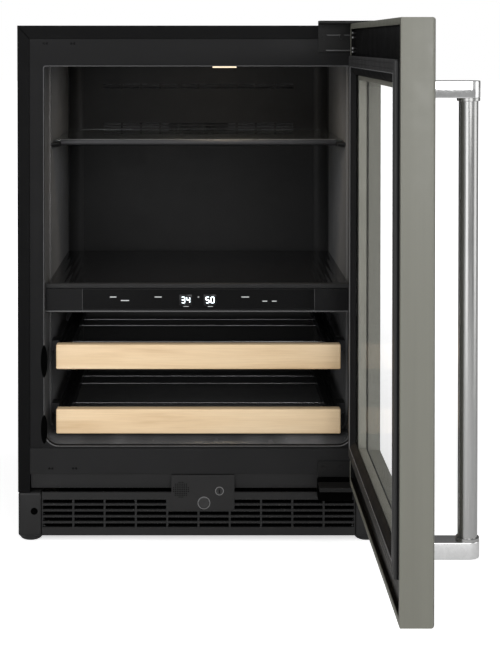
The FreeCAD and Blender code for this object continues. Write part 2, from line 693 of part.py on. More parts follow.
def handle():
    """Round bar handle between two brackets with rounded ends."""
    out = "(door_face + handle_out)"
    tube = rod("handle_x", f"-{out}", "post_low + post_tall", "handle_radius",
               "handle_high - handle_low - 2*post_tall")
    bore = rod("handle_x", f"-{out}", "post_low", "handle_radius - 1.5",
               "handle_high - handle_low + 20")
    door_node(cut(tube, [bore]), "handle_bar")
    posts = []
    for low in ("post_low", "handle_high - post_tall"):
        arm = block("handle_x - post_half", f"-{out}", low, "2*post_half", "handle_out",
                    "post_tall")
        end = rod("handle_x", f"-{out}", low, "post_half", "post_tall")
        posts.append(fused([arm, end]))
    door_node(group(posts), "handle_brackets")


def check_all():
    """Stop if any object failed, or any sub-part's shape is missing or not valid."""
    for item in doc.Objects:
        if "Invalid" in item.State or "Error" in item.State:
            raise RuntimeError(f"{item.Label} failed: {item.State}")
    for item in NODES:
        if item.Shape.isNull() or not item.Shape.isValid():
            raise RuntimeError(f"{item.Label} has no valid shape")
        print(f"{item.Label:26s} solids {len(item.Shape.Solids):3d}  "
              f"volume {item.Shape.Volume / 1000:9.1f} cm3")


side_panel("side_panel_left", -1)
side_panel("side_panel_right", 1)
top_panel()
rear_panels()
base_pan()
insulation()
liner()
evaporator_cover()
face_frame()
lower_front()
control_plate()
feet()
divider()
ledges()
glass_shelf()
slide_cases = rack("upper_rack") + rack("lower_rack")
node(group(slide_cases), "rack_slide_cases")
cooling_parts()
hinges()
door()
doc.recompute()
check_all()
os.makedirs("parts", exist_ok=True)
for item in NODES:
    item.Shape.exportStep(f"parts/{item.Label}.step")
print(len(NODES), "nodes")
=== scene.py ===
import json
import math

import bmesh
import bpy
import numpy as np
from bpy.props import FloatProperty, FloatVectorProperty, IntProperty, PointerProperty
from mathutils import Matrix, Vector


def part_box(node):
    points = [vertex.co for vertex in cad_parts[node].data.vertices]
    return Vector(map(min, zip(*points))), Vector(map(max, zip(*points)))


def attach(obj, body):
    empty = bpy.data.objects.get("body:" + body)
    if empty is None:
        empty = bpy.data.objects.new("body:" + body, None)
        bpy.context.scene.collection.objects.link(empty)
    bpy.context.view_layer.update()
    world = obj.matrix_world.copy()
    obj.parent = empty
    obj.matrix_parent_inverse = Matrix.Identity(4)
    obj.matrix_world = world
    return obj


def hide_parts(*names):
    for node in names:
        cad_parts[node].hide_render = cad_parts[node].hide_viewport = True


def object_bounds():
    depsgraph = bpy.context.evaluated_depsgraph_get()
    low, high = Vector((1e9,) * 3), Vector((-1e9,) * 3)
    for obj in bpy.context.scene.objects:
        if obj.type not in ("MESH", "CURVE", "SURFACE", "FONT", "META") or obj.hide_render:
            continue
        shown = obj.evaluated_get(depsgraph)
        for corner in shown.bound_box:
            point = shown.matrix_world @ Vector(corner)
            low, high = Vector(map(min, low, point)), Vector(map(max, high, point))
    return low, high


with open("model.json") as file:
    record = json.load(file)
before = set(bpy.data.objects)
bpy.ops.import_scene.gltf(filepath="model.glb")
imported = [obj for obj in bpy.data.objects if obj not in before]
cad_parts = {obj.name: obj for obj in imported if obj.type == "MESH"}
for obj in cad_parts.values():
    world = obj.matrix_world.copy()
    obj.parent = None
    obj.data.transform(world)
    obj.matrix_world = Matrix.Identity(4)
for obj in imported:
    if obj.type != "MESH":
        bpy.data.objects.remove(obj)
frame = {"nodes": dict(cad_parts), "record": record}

CAD_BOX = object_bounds()

bl_info = {
    "name": "Undercounter wine cooler",
    "version": (1, 0, 0),
    "blender": (4, 5, 0),
    "location": "View3D > Sidebar > Cooler",
    "description": "Builds the finished surfaces of an undercounter wine cooler on its frame",
    "category": "Add Mesh",
}

MM = 0.001
NODES = frame["nodes"]
CABINET = "cabinet"
DOOR = "door"


def low_of(node):
    """Lowest corner of a frame node as an array."""
    return np.array(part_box(node)[0])


def high_of(node):
    """Highest corner of a frame node as an array."""
    return np.array(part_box(node)[1])


FRONT_Y = low_of("side_panel_left")[1]
DOOR_INNER_X = low_of("door_skin")[0]
# How far the panel's back stands from the cabinet's front plane when the door is shut.
DOOR_BACK = 11 * MM
DOOR_MIDDLE_Y = (low_of("door_skin")[1] + high_of("door_skin")[1]) / 2


# ---------------------------------------------------------------- settings

class CoolerShape(bpy.types.PropertyGroup):
    """Sizes of edges and small details."""

    edge: FloatProperty(name="Edge rounding", description="Rounding of moulded edges",
                        default=2.2 * MM, unit="LENGTH")
    board_edge: FloatProperty(name="Board rounding", description="Rounding of wood edges",
                              default=2.5 * MM, unit="LENGTH")
    rim: FloatProperty(name="Door rim", description="Width of the painted rim on the door's back",
                       default=9 * MM, unit="LENGTH")
    low_corner: FloatProperty(name="Low corner radius",
                              description="Radius of the opening's low corners",
                              default=25 * MM, unit="LENGTH")
    high_corner: FloatProperty(name="High corner radius",
                               description="Radius of the opening's high corners",
                               default=4 * MM, unit="LENGTH")
    arc_steps: IntProperty(name="Arc steps", description="Segments in a quarter turn",
                           default=8, min=2)


class CoolerColours(bpy.types.PropertyGroup):
    """Main colours of the finishes."""

    door: FloatVectorProperty(name="Door paint", description="Paint on the door panel",
                              subtype="COLOR", size=3, default=(0.153, 0.1525, 0.1275))
    wood: FloatVectorProperty(name="Wood", description="Light wood of the rack fronts",
                              subtype="COLOR", size=3, default=(0.82, 0.61, 0.375))
    black: FloatVectorProperty(name="Black", description="Black enamel and plastic",
                               subtype="COLOR", size=3, default=(0.0040, 0.0040, 0.0042))
    liner: FloatVectorProperty(name="Liner", description="Black liner moulding",
                               subtype="COLOR", size=3, default=(0.0235, 0.0235, 0.0240))
    lamp: FloatVectorProperty(name="Lamp", description="Colour of the ceiling light",
                              subtype="COLOR", size=3, default=(1.0, 0.82, 0.58))


class CoolerStage(bpy.types.PropertyGroup):
    """Camera and light."""

    distance: FloatProperty(name="Camera distance", description="From the cabinet's front",
                            default=2.4484, unit="LENGTH")
    height: FloatProperty(name="Camera height", description="Above the base pan's underside",
                          default=0.8251, unit="LENGTH")
    lens: FloatProperty(name="Lens", description="Focal length in millimetres", default=81.60)
    tilt: FloatProperty(name="Tilt", description="Angle below the horizontal",
                        default=math.radians(0.912), subtype="ANGLE")
    shift_x: FloatProperty(name="Shift X", description="Sideways shift", default=0.0798)
    shift_y: FloatProperty(name="Shift Y", description="Upward shift", default=-0.3967)


def shape():
    """Current edge and detail sizes."""
    return bpy.context.scene.cooler_shape


def colours():
    """Current colours."""
    return bpy.context.scene.cooler_colours


# ---------------------------------------------------------------- surfaces

def quads(rows, columns, wrap_rows, wrap_columns):
    """Quads of a grid: each joins a point, its next column, and the same two in the next row."""
    row = np.arange(rows if wrap_rows else rows - 1)
    column = np.arange(columns if wrap_columns else columns - 1)
    first, second = np.meshgrid(row, column, indexing="ij")
    after = (first + 1) % rows
    beside = (second + 1) % columns
    corners = np.stack([first * columns + second, first * columns + beside,
                        after * columns + beside, after * columns + second], axis=-1)
    return corners.reshape(-1, 4)


class Surface:
    """Points and faces gathered from several grids."""

    def __init__(self):
        self.points = []
        self.faces = []
        self.count = 0

    def grid(self, points, wrap_rows=False, wrap_columns=False, caps=False):
        """Add a grid of points, its end rows closed by one face each if caps is set."""
        points = np.asarray(points, float)
        rows, columns = points.shape[:2]
        faces = (quads(rows, columns, wrap_rows, wrap_columns) + self.count).tolist()
        if caps:
            first = np.arange(columns) + self.count
            last = first + (rows - 1) * columns
            faces.append(first[::-1].tolist())
            faces.append(last.tolist())
        self.points.append(points.reshape(-1, 3))
        self.faces.extend(faces)
        self.count += rows * columns
        return self

    def swept(self, rows, steps, place):
        """Add a closed section carried round the rounded rectangles of stations()."""
        return self.grid(stations(rows, steps, place), wrap_rows=True, wrap_columns=True)

    def stacked(self, rows):
        """Add closed outlines stacked in order, with a face at each end."""
        return self.grid(np.stack(rows), wrap_columns=True, caps=True)

    def piece(self, name, body, slot, replaced=(), flat=False):
        """Turn the gathered grids into a piece that rides on a body."""
        mesh = bpy.data.meshes.new(name)
        mesh.from_pydata(np.concatenate(self.points).tolist(), [], self.faces)
        mesh.validate()
        item = bpy.data.objects.new(name, mesh)
        bpy.context.scene.collection.objects.link(item)
        turn_outwards(item)
        mesh.polygons.foreach_set("use_smooth", [not flat] * len(mesh.polygons))
        if not flat:
            mesh.set_sharp_from_angle(angle=math.radians(40))
        item.data.materials.append(bpy.data.materials[slot])
        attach(item, body)
        if replaced:
            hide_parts(*replaced)


def turn_outwards(item):
    """Make a closed mesh's faces point outwards."""
    work = bmesh.new()
    work.from_mesh(item.data)
    bmesh.ops.recalc_face_normals(work, faces=work.faces)
    work.to_mesh(item.data)
    work.free()


def rounded_loop(low, high, radii, steps):
    """Rectangle with rounded corners: each corner is its centre plus the radius times
    (cosine, sine) of an angle that runs a quarter turn. radii are for the low and high corners."""
    (left, bottom), (right, top) = low, high
    angle = np.linspace(0, math.pi / 2, steps + 1)
    pieces = []
    for turn, x, y, radius in ((2, left, bottom, radii[0]), (3, right, bottom, radii[0]),
                               (0, right, top, radii[1]), (1, left, top, radii[1])):
        radius = max(radius, 1e-5)
        theta = angle + turn * math.pi / 2
        centre_x = x + radius if x == left else x - radius
        centre_y = y + radius if y == bottom else y - radius
        pieces.append(np.stack([centre_x + radius * np.cos(theta),
                                centre_y + radius * np.sin(theta)], axis=-1))
    return np.concatenate(pieces)


def inset(rectangle, amount):
    """Rectangle moved inwards by an amount on every side."""
    (left, bottom), (right, top) = rectangle
    return (left + amount, bottom + amount), (right - amount, top - amount)


def stations(rows, steps, place):
    """Grid whose rows are rounded rectangles; a row is rectangle, radii and depth, and place()
    turns its across, depth and up arrays into points."""
    grid = []
    for rectangle, radii, depth in rows:
        loop = rounded_loop(*rectangle, radii, steps)
        grid.append(place(loop[:, 0], np.full(len(loop), depth), loop[:, 1]))
    return np.stack(grid)


def cabinet_place(across, depth, up):
    """Depth runs back from the cabinet's front plane."""
    return np.stack([across, FRONT_Y + depth, up], axis=-1)


def door_place(across, out, up):
    """Across runs along the open door from its middle, out away from the front plane."""
    return np.stack([DOOR_INNER_X - DOOR_BACK + out, DOOR_MIDDLE_Y + across, up], axis=-1)


def grown(radii, amount):
    """Corner radii after a rectangle grows by an amount."""
    return tuple(max(radius + amount, 0.2 * MM) for radius in radii)


def edge_arc(radius, steps, start, end):
    """Points of an arc as (cosine, sine) times a radius between two angles in degrees."""
    angle = np.radians(np.linspace(start, end, steps + 1))
    return [(radius * math.cos(a), radius * math.sin(a)) for a in angle]


def rounded_box(surface, low, high, radius, steps=5):
    """Box with every edge rounded: rounded rectangles stacked along Z, drawn in at both ends by
    radius times one minus the cosine of an angle."""
    low, high = np.array(low, float), np.array(high, float)
    rows = []
    ends = [(-90, low[2] + radius), (0, high[2] - radius)]
    for start, level in ends:
        for across, rise in edge_arc(radius, steps, start, start + 90):
            rows.append((radius - across, level + rise))
    grid = []
    for drawn, level in rows:
        rectangle = ((low[0] + drawn, low[1] + drawn), (high[0] - drawn, high[1] - drawn))
        loop = rounded_loop(*rectangle, (radius - drawn + 1e-5,) * 2, steps)
        grid.append(np.column_stack([loop, np.full(len(loop), level)]))
    return surface.stacked(grid)


def turned(surface, centre, axis, profile, sides=40):
    """Surface of revolution: profile rows are (distance along the axis, radius), each a circle
    of cosine and sine in the two other directions. Its ends are closed."""
    angle = np.linspace(0, 2 * math.pi, sides, endpoint=False)
    others = [index for index in range(3) if index != axis]
    grid = np.zeros((len(profile), sides, 3))
    for row, (along, radius) in enumerate(profile):
        grid[row, :, axis] = centre[axis] + along
        grid[row, :, others[0]] = centre[others[0]] + radius * np.cos(angle)
        grid[row, :, others[1]] = centre[others[1]] + radius * np.sin(angle)
    return surface.stacked(grid)


def extruded(surface, outline, low_x, high_x):
    """Bar along X whose section is an outline of (Y, Z) points, closed at both ends."""
    section = np.asarray(outline, float)
    rows = [np.column_stack([np.full(len(section), x), section]) for x in (low_x, high_x)]
    return surface.stacked(rows)


# ---------------------------------------------------------------- materials

def put(node, **values):
    """Set a node's inputs by name, an underscore standing for a blank, and return the node."""
    for name, value in values.items():
        node.inputs[name.replace("_", " ")].default_value = value
    return node


class Finish:
    """Node material with one principled shader and Object coordinates."""

    def __init__(self, name, colour, roughness, metallic=0.0, **more):
        self.material = bpy.data.materials.get(name) or bpy.data.materials.new(name)
        self.material.use_nodes = True
        self.tree = self.material.node_tree
        self.tree.nodes.clear()
        self.shader = self.add("ShaderNodeBsdfPrincipled")
        output = self.add("ShaderNodeOutputMaterial")
        self.link(self.shader.outputs[0], output.inputs[0])
        put(self.shader, Base_Color=(*colour, 1), Roughness=roughness, Metallic=metallic, **more)
        self.colour = colour
        self.coordinates = self.add("ShaderNodeTexCoord").outputs["Object"]

    def add(self, kind, **settings):
        """Add a node with some properties."""
        node = self.tree.nodes.new(kind)
        for key, value in settings.items():
            setattr(node, key, value)
        return node

    def link(self, source, target):
        """Join two sockets."""
        self.tree.links.new(source, target)

    def stretched(self, scale):
        """Object coordinates scaled along each axis."""
        mapping = put(self.add("ShaderNodeMapping"), Scale=scale)
        self.link(self.coordinates, mapping.inputs["Vector"])
        return mapping.outputs["Vector"]

    def noise(self, scale, detail=3.0, rough=0.5, distortion=0.0):
        """Noise of a given scale along each axis, in cycles a metre."""
        texture = put(self.add("ShaderNodeTexNoise"), Scale=1.0, Detail=detail,
                      Roughness=rough, Distortion=distortion)
        self.link(self.stretched(scale), texture.inputs["Vector"])
        return texture.outputs["Fac"]

    def ramp(self, source, stops):
        """Colour ramp over a value."""
        node = self.add("ShaderNodeValToRGB")
        ramp = node.color_ramp
        ramp.elements[0].position, ramp.elements[0].color = stops[0][0], (*stops[0][1], 1)
        ramp.elements[1].position, ramp.elements[1].color = stops[-1][0], (*stops[-1][1], 1)
        for position, colour in stops[1:-1]:
            ramp.elements.new(position).color = (*colour, 1)
        self.link(source, node.inputs["Fac"])
        return node.outputs["Color"]

    def spread(self, source, low, high):
        """Map a value's middle range onto low to high."""
        node = put(self.add("ShaderNodeMapRange"), From_Min=0.3, From_Max=0.7, To_Min=low,
                   To_Max=high)
        self.link(source, node.inputs["Value"])
        return node.outputs["Result"]

    def vary_colour(self, source, amount):
        """Darken and lighten the base colour a little with a value."""
        dark = [channel * (1 - amount) for channel in self.colour]
        light = [min(channel * (1 + amount), 1) for channel in self.colour]
        self.link(self.ramp(source, [(0.3, dark), (0.7, light)]),
                  self.shader.inputs["Base Color"])

    def vary_roughness(self, source, low, high):
        """Vary the roughness with a value."""
        self.link(self.spread(source, low, high), self.shader.inputs["Roughness"])

    def bump(self, source, strength, height):
        """Raise the surface with a value; height is in metres."""
        node = put(self.add("ShaderNodeBump"), Strength=strength, Distance=height)
        self.link(source, node.inputs["Height"])
        self.link(node.outputs["Normal"], self.shader.inputs["Normal"])


def even(scale):
    """The same scale along every axis."""
    return (scale, scale, scale)


def moulded(name, colour, roughness, grain=900, relief=0.12, **more):
    """Moulded plastic or paint: fine pebbled relief, and slow changes of tone and gloss."""
    more.setdefault("Specular_IOR_Level", 0.3)
    finish = Finish(name, colour, roughness, **more)
    finish.vary_colour(finish.noise(even(14)), 0.06)
    finish.vary_roughness(finish.noise(even(40)), roughness * 0.88, roughness * 1.12)
    finish.bump(finish.noise(even(grain), detail=2), relief, 0.2 * MM)
    return finish


def brushed(name, colour, roughness, scale, relief=0.12, **more):
    """Metal with long fine scratches along the axis of lowest scale."""
    finish = Finish(name, colour, roughness, metallic=1.0, **more)
    streaks = finish.noise(scale, detail=4, rough=0.7)
    finish.vary_colour(streaks, 0.07)
    finish.vary_roughness(streaks, roughness * 0.8, roughness * 1.3)
    finish.bump(streaks, relief, 0.05 * MM)


def liner_walls():
    """Liner plastic with painted light: its tone a ramp over depth, well above the liner's black,
    and darker in front of the step than behind it, where less light reaches.
    """
    finish = moulded("liner_plastic", (0.055, 0.055, 0.056), 0.34, grain=1500, relief=0.08)
    parts = finish.add("ShaderNodeSeparateXYZ")
    finish.link(finish.coordinates, parts.inputs["Vector"])
    depth = put(finish.add("ShaderNodeMapRange"), From_Min=FRONT_Y, From_Max=FRONT_Y + 0.5)
    finish.link(parts.outputs["Y"], depth.inputs["Value"])
    # Painted light: deeper walls get a lighter tone to make up for the light that does not reach
    # them.
    tone = finish.ramp(depth.outputs["Result"], [(0.0, (0.118, 0.118, 0.120)),
                                                 (0.2, (0.105, 0.105, 0.107)),
                                                 (0.4, (0.170, 0.170, 0.173)),
                                                 (0.8, (0.160, 0.160, 0.163))])
    finish.link(tone, finish.shader.inputs["Base Color"])


def sill_gloss():
    """Glossy sill with painted reflections: soft upright bands of lighter and darker tone."""
    finish = Finish("sill_gloss", (0.055, 0.056, 0.058), 0.22, Specular_IOR_Level=0.5)
    # Painted reflection: light and dark bands across the sill.
    bands = finish.noise((9, 0.1, 0.1), detail=2)
    finish.link(finish.ramp(bands, [(0.35, (0.035, 0.036, 0.038)), (0.5, (0.062, 0.063, 0.066)),
                                    (0.65, (0.12, 0.12, 0.125))]),
                finish.shader.inputs["Base Color"])
    finish.vary_roughness(finish.noise(even(50)), 0.2, 0.28)


def light_wood():
    """Clear-coated light wood, its grain along X, with growth bands, fibres and pores."""
    base = np.array(colours().wood)
    finish = Finish("wood", tuple(base), 0.42, Coat_Weight=0.25, Coat_Roughness=0.25)
    bands = finish.noise((2.2, 34, 34), detail=4, rough=0.55, distortion=0.6)
    dark = tuple(base * (0.80, 0.74, 0.66))
    light = tuple(np.minimum(base * (1.10, 1.16, 1.25), 1))
    colour = finish.ramp(bands, [(0.28, dark), (0.46, tuple(base)), (0.70, light)])
    fibres = finish.noise((16, 950, 950), detail=3, rough=0.7)
    blend = put(finish.add("ShaderNodeMix", data_type="RGBA", blend_type="MULTIPLY"), Factor=0.5)
    finish.link(colour, blend.inputs["A"])
    finish.link(finish.ramp(fibres, [(0.3, (0.82, 0.78, 0.72)), (0.6, (1, 1, 1))]),
                blend.inputs["B"])
    finish.link(blend.outputs["Result"], finish.shader.inputs["Base Color"])
    finish.vary_roughness(fibres, 0.36, 0.52)
    finish.bump(fibres, 0.25, 0.12 * MM)


def door_paint():
    """Satin paint on the door, with faint upright streaks from the roller."""
    finish = Finish("door_paint", tuple(colours().door), 0.45)
    finish.vary_colour(finish.noise((90, 90, 1.5), detail=3), 0.045)
    finish.vary_roughness(finish.noise(even(60)), 0.38, 0.5)
    finish.bump(finish.noise((700, 700, 60), detail=2), 0.10, 0.08 * MM)


def glass(name, colour, roughness=0.0, transmission=1.0, relief=0.0, ribs=False, **more):
    """Polished glass with a faint waviness, or with upright ribs pressed into it."""
    finish = Finish(name, colour, roughness, Transmission_Weight=transmission, IOR=1.5, **more)
    if ribs:
        wave = put(finish.add("ShaderNodeTexWave", wave_type="BANDS", bands_direction="X"),
                   Scale=32)
        finish.link(finish.coordinates, wave.inputs["Vector"])
        finish.bump(wave.outputs["Fac"], 0.5, 0.5 * MM)
    else:
        finish.bump(finish.noise(even(6)), relief, 0.05 * MM)


def galvanised():
    """Zinc-coated steel with pale and dark crystal patches."""
    finish = Finish("galvanised_steel", (0.42, 0.43, 0.44), 0.42, metallic=0.9)
    cells = put(finish.add("ShaderNodeTexVoronoi"), Scale=120)
    finish.link(finish.coordinates, cells.inputs["Vector"])
    finish.vary_colour(cells.outputs["Distance"], 0.2)
    finish.bump(finish.noise(even(300)), 0.1, 0.05 * MM)


def lit(name, colour, strength):
    """Backlit plastic: a pale moulding that also gives light."""
    finish = Finish(name, colour, 0.4, Emission_Strength=strength, Emission_Color=(*colour, 1))
    finish.vary_roughness(finish.noise(even(200)), 0.35, 0.45)
    finish.vary_colour(finish.noise(even(80)), 0.03)


def make_finishes():
    """All finishes of the cooler: one for each material slot, and more for single pieces."""
    black = tuple(colours().black)
    liner = tuple(colours().liner)
    moulded("black_enamel", black, 0.38, grain=1200, relief=0.08, Specular_IOR_Level=0.05)
    galvanised()
    moulded("black_rubber", (0.010, 0.010, 0.010), 0.75, relief=0.3)
    moulded("foam", (0.62, 0.52, 0.28), 0.9, grain=260, relief=0.7)
    liner_walls()
    moulded("rear_plastic", liner, 0.40, grain=1500, relief=0.05, Specular_IOR_Level=0.1)
    moulded("frame_plastic", (0.0074, 0.0074, 0.0078), 0.38, grain=1500, relief=0.08,
            Specular_IOR_Level=0.1)
    moulded("lower_plastic", (0.0140, 0.0140, 0.0145), 0.42, grain=1500, relief=0.08,
            Specular_IOR_Level=0.12)
    # Pale grey for painted highlights on edges and grooves.
    moulded("painted_highlight_grey", (0.092, 0.092, 0.094), 0.3, relief=0.02)
    moulded("trim_plastic", (0.0240, 0.0240, 0.0245), 0.42, relief=0.08, Specular_IOR_Level=0.1)
    # Pale rings on the plate, and painted highlight along the seal's inner edge.
    moulded("pale_rings_and_painted_highlight", (0.20, 0.20, 0.205), 0.3, relief=0.02)
    sill_gloss()
    moulded("tray_black", (0.0016, 0.0016, 0.0017), 0.4, relief=0.01, Specular_IOR_Level=0.1)
    # Deepest black: real black covers, plugs and seams, and painted shade in the sounder holes,
    # behind the grille and beside the boards.
    moulded("black_and_painted_shade", (0.0006, 0.0006, 0.0006), 0.6, Specular_IOR_Level=0.01)
    moulded("grille_plastic", (0.0100, 0.0100, 0.0104), 0.46, grain=1100, relief=0.18)
    moulded("button_plastic", (0.024, 0.024, 0.0245), 0.38, relief=0.06)
    brushed("zinc", (0.66, 0.66, 0.67), 0.30, even(500))
    glass("smoked_glass", (0.012, 0.012, 0.013), 0.16, 0.1, ribs=True)
    moulded("control_gloss", (0.0026, 0.0026, 0.0028), 0.14, relief=0.01,
            Specular_IOR_Level=0.08)
    glass("clear_glass", (0.80, 0.86, 0.84), 0.02, 0.96, relief=0.05)
    moulded("display", (0.004, 0.004, 0.005), 0.2, relief=0.02)
    brushed("dark_trim", (0.045, 0.045, 0.047), 0.36, (6, 900, 900))
    brushed("slide_steel", (0.06, 0.06, 0.063), 0.42, (900, 8, 900))
    moulded("rack_steel", (0.010, 0.010, 0.0105), 0.42, relief=0.06)
    brushed("chrome_wire", (0.26, 0.26, 0.27), 0.20, (6, 700, 700), relief=0.03)
    light_wood()
    brushed("fin_aluminium", (0.66, 0.67, 0.68), 0.35, (600, 600, 12))
    moulded("motor_plastic", (0.045, 0.045, 0.048), 0.6, relief=0.2)
    lit("lamp_lens", tuple(colours().lamp), 0.9)
    moulded("hinge_steel", (0.0135, 0.0135, 0.0135), 0.34, relief=0.05,
            Specular_IOR_Level=0.1)
    door_paint()
    moulded("door_frame_plastic", (0.0130, 0.0130, 0.0135), 0.45, grain=1500, relief=0.01,
            Specular_IOR_Level=0.02)
    moulded("gasket_rubber", (0.032, 0.032, 0.0325), 0.50, grain=700, relief=0.15)
    glass("pane_glass", (0.93, 0.96, 0.95), 0.0, 1.0, relief=0.03, Alpha=0.06)
    # Door-toned and lighter than the door paint: painted light for the spacer and tape in shade
    # behind the panes.
    moulded("spacer_metal", (0.235, 0.232, 0.201), 0.5, relief=0.02, Specular_IOR_Level=0.1)
    moulded("bush_plastic", (0.62, 0.61, 0.57), 0.4, relief=0.1)
    brushed("handle_steel", (0.385, 0.385, 0.38), 0.22, (700, 700, 10), relief=0.10)
    brushed("handle_chrome", (0.72, 0.72, 0.72), 0.10, (240, 240, 240), relief=0.02)
    lit("digit_light", (0.85, 0.95, 1.0), 3.5)
    lit("legend_print", (0.55, 0.56, 0.57), 0.35)


# ---------------------------------------------------------------- base class of operators

class CoolerOperator(bpy.types.Operator):
    """Part of the cooler."""

    bl_options = {"REGISTER", "UNDO"}

    def execute(self, context):
        """Build the piece."""
        self.build()
        return {"FINISHED"}


class COOLER_OT_finishes(CoolerOperator):
    """Give every frame node the finish of its material slot"""

    bl_idname = "cooler.finishes"
    bl_label = "Finishes"

    def build(self):
        """Make the finishes and put each on its nodes."""
        make_finishes()
        slots = {item["node"]: item["material_slot"] for item in frame["record"]["subparts"]}
        # The condenser takes the deepest black: black paint, and painted shade seen through the
        # grille slots.
        slots.update(condenser="black_and_painted_shade", control_glass="control_gloss",
                     evaporator_cover="rear_plastic", lower_face_panel="lower_plastic",
                     door_core="tray_black", lock_cylinder="button_plastic",
                     lower_trim="trim_plastic", hinge_screws="hinge_steel")
        for name, item in NODES.items():
            material = bpy.data.materials[slots[name]]
            if not item.material_slots:
                item.data.materials.append(material)
            for slot in item.material_slots:
                slot.material = material


# ---------------------------------------------------------------- cabinet pieces

# Thickness of the liner's wall.
WALL = 2 * MM


def opening():
    """Rectangle of the compartment opening, as low and high (across, up) corners."""
    low, high = low_of("liner"), high_of("liner")
    return inset(((low[0], low[2]), (high[0], high[2])), WALL)


def opening_radii():
    """Corner radii of the opening."""
    return shape().low_corner, shape().high_corner


class COOLER_OT_face_frame(CoolerOperator):
    """Moulded frame around the opening, with rounded edges"""

    bl_idname = "cooler.face_frame"
    bl_label = "Face frame"

    def build(self):
        """Closed section carried round the opening: out along the front, round each edge by an
        arc, and back along the rear."""
        low, high = low_of("face_frame"), high_of("face_frame")
        outer = (low[0], low[2]), (high[0], high[2])
        front, back = low[1] - FRONT_Y, high[1] - FRONT_Y
        radius = shape().edge
        radii = opening_radii()
        sharp = (0.5 * MM, 0.5 * MM)
        ease = 0.8 * MM
        hole = opening()
        rows = [(outer, sharp, back)]
        for across, rise in edge_arc(ease, 3, 180, 90):
            rows.append((inset(outer, ease + across), sharp, front + ease - rise))
        for across, rise in edge_arc(radius, 6, 90, 0):
            grow = radius - across
            rows.append((inset(hole, -grow), grown(radii, grow), front + radius - rise))
        rows.append((hole, radii, back))
        surface = Surface().swept(rows, shape().arc_steps, cabinet_place)
        surface.piece("face_frame_moulding", CABINET, "frame_plastic", ["face_frame"])


class COOLER_OT_liner(CoolerOperator):
    """Moulded liner with rounded inner edges and a step behind the front zone"""

    bl_idname = "cooler.liner"
    bl_label = "Liner"

    def build(self):
        """Rounded rectangles stacked in depth: narrower by the step behind it, closed by a
        rounded back; the outer skin returns to the front one wall outside."""
        hole = opening()
        radii = opening_radii()
        step = low_of("zone_divider")[0] - 0.3 * MM - hole[0][0]
        back = high_of("liner")[1] - FRONT_Y - WALL
        start = low_of("liner")[1] - FRONT_Y
        step_at = low_of("zone_divider")[1] - FRONT_Y - 0.5 * MM
        (left, bottom), (right, top) = hole
        narrow = (left + step, bottom), (right - step, top)
        rows = [(hole, radii, start), (hole, radii, step_at - 3 * MM)]
        for fraction in np.linspace(0, 1, 5):
            drawn = step * (1 - math.cos(fraction * math.pi)) / 2
            part = (left + drawn, bottom), (right - drawn, top)
            rows.append((part, radii, step_at - 2.5 * MM + fraction * 3 * MM))
        rounding = 12 * MM
        rows.append((narrow, radii, back - rounding))
        for across, rise in edge_arc(rounding, 5, 0, 80):
            drawn = rounding - across
            rows.append((inset(narrow, drawn), grown(radii, -drawn * 0.5),
                         back - rounding + rise))
        inner_rows = len(rows)
        wider = grown(radii, WALL)
        rows += [(*rows[-1][:2], back + WALL), (inset(narrow, -WALL), wider, back - 6 * MM),
                 (inset(hole, -WALL), wider, step_at), (inset(hole, -WALL), wider, start)]
        surface = Surface().swept(rows, shape().arc_steps, cabinet_place)
        columns = surface.count // len(rows)
        surface.faces = [face for face in surface.faces
                         if not bridges(face, inner_rows - 1, columns)]
        first = np.arange(columns) + (inner_rows - 1) * columns
        surface.faces += [first.tolist(), (first + columns)[::-1].tolist()]
        surface.piece("liner_tub", CABINET, "liner_plastic", ["liner"])


def bridges(face, row, columns):
    """Whether a face joins a row to the next one."""
    rows = {index // columns for index in face}
    return rows == {row, row + 1}


class COOLER_OT_divider(CoolerOperator):
    """Rounded nose on the divider shelf, and the ledges of the glass shelf"""

    bl_idname = "cooler.divider"
    bl_label = "Divider and ledges"

    def build(self):
        """Nose: a section with two arcs carried along X. Ledge: a five-sided section carried
        along Y, its underside rising towards the front end."""
        low, high = low_of("divider_trim"), high_of("divider_trim")
        radius = 2.5 * MM
        outline = [(high[1], low[2]), (high[1], high[2])]
        for across, rise in edge_arc(radius, 6, 90, 180):
            outline.append((low[1] + radius + across, high[2] - radius + rise))
        for across, rise in edge_arc(radius, 6, 180, 270):
            outline.append((low[1] + radius + across, low[2] + radius + rise))
        nose = extruded(Surface(), outline, low[0], high[0])
        nose.piece("divider_nose", CABINET, "trim_plastic", ["divider_trim"])
        ledges = Surface()
        low, high = low_of("shelf_ledges"), high_of("shelf_ledges")
        wide = 13 * MM
        depth = low[1] + np.array([0, 0.02, 0.10, 1.0]) * (high[1] - low[1])
        underside = low[2] + np.array([0.675, 0.405, 0.0, 0.0]) * (high[2] - low[2])
        for side in (-1, 1):
            wall = side * high[0]
            inner = side * (high[0] - wide)
            rows = [[(wall, at, under), (inner, at, under + 2 * MM),
                     (inner, at, high[2] - 1 * MM), (inner + side * MM, at, high[2]),
                     (wall, at, high[2])] for at, under in zip(depth, underside)]
            ledges.stacked(rows)
        ledges.piece("shelf_ledge_mouldings", CABINET, "rear_plastic", ["shelf_ledges"])


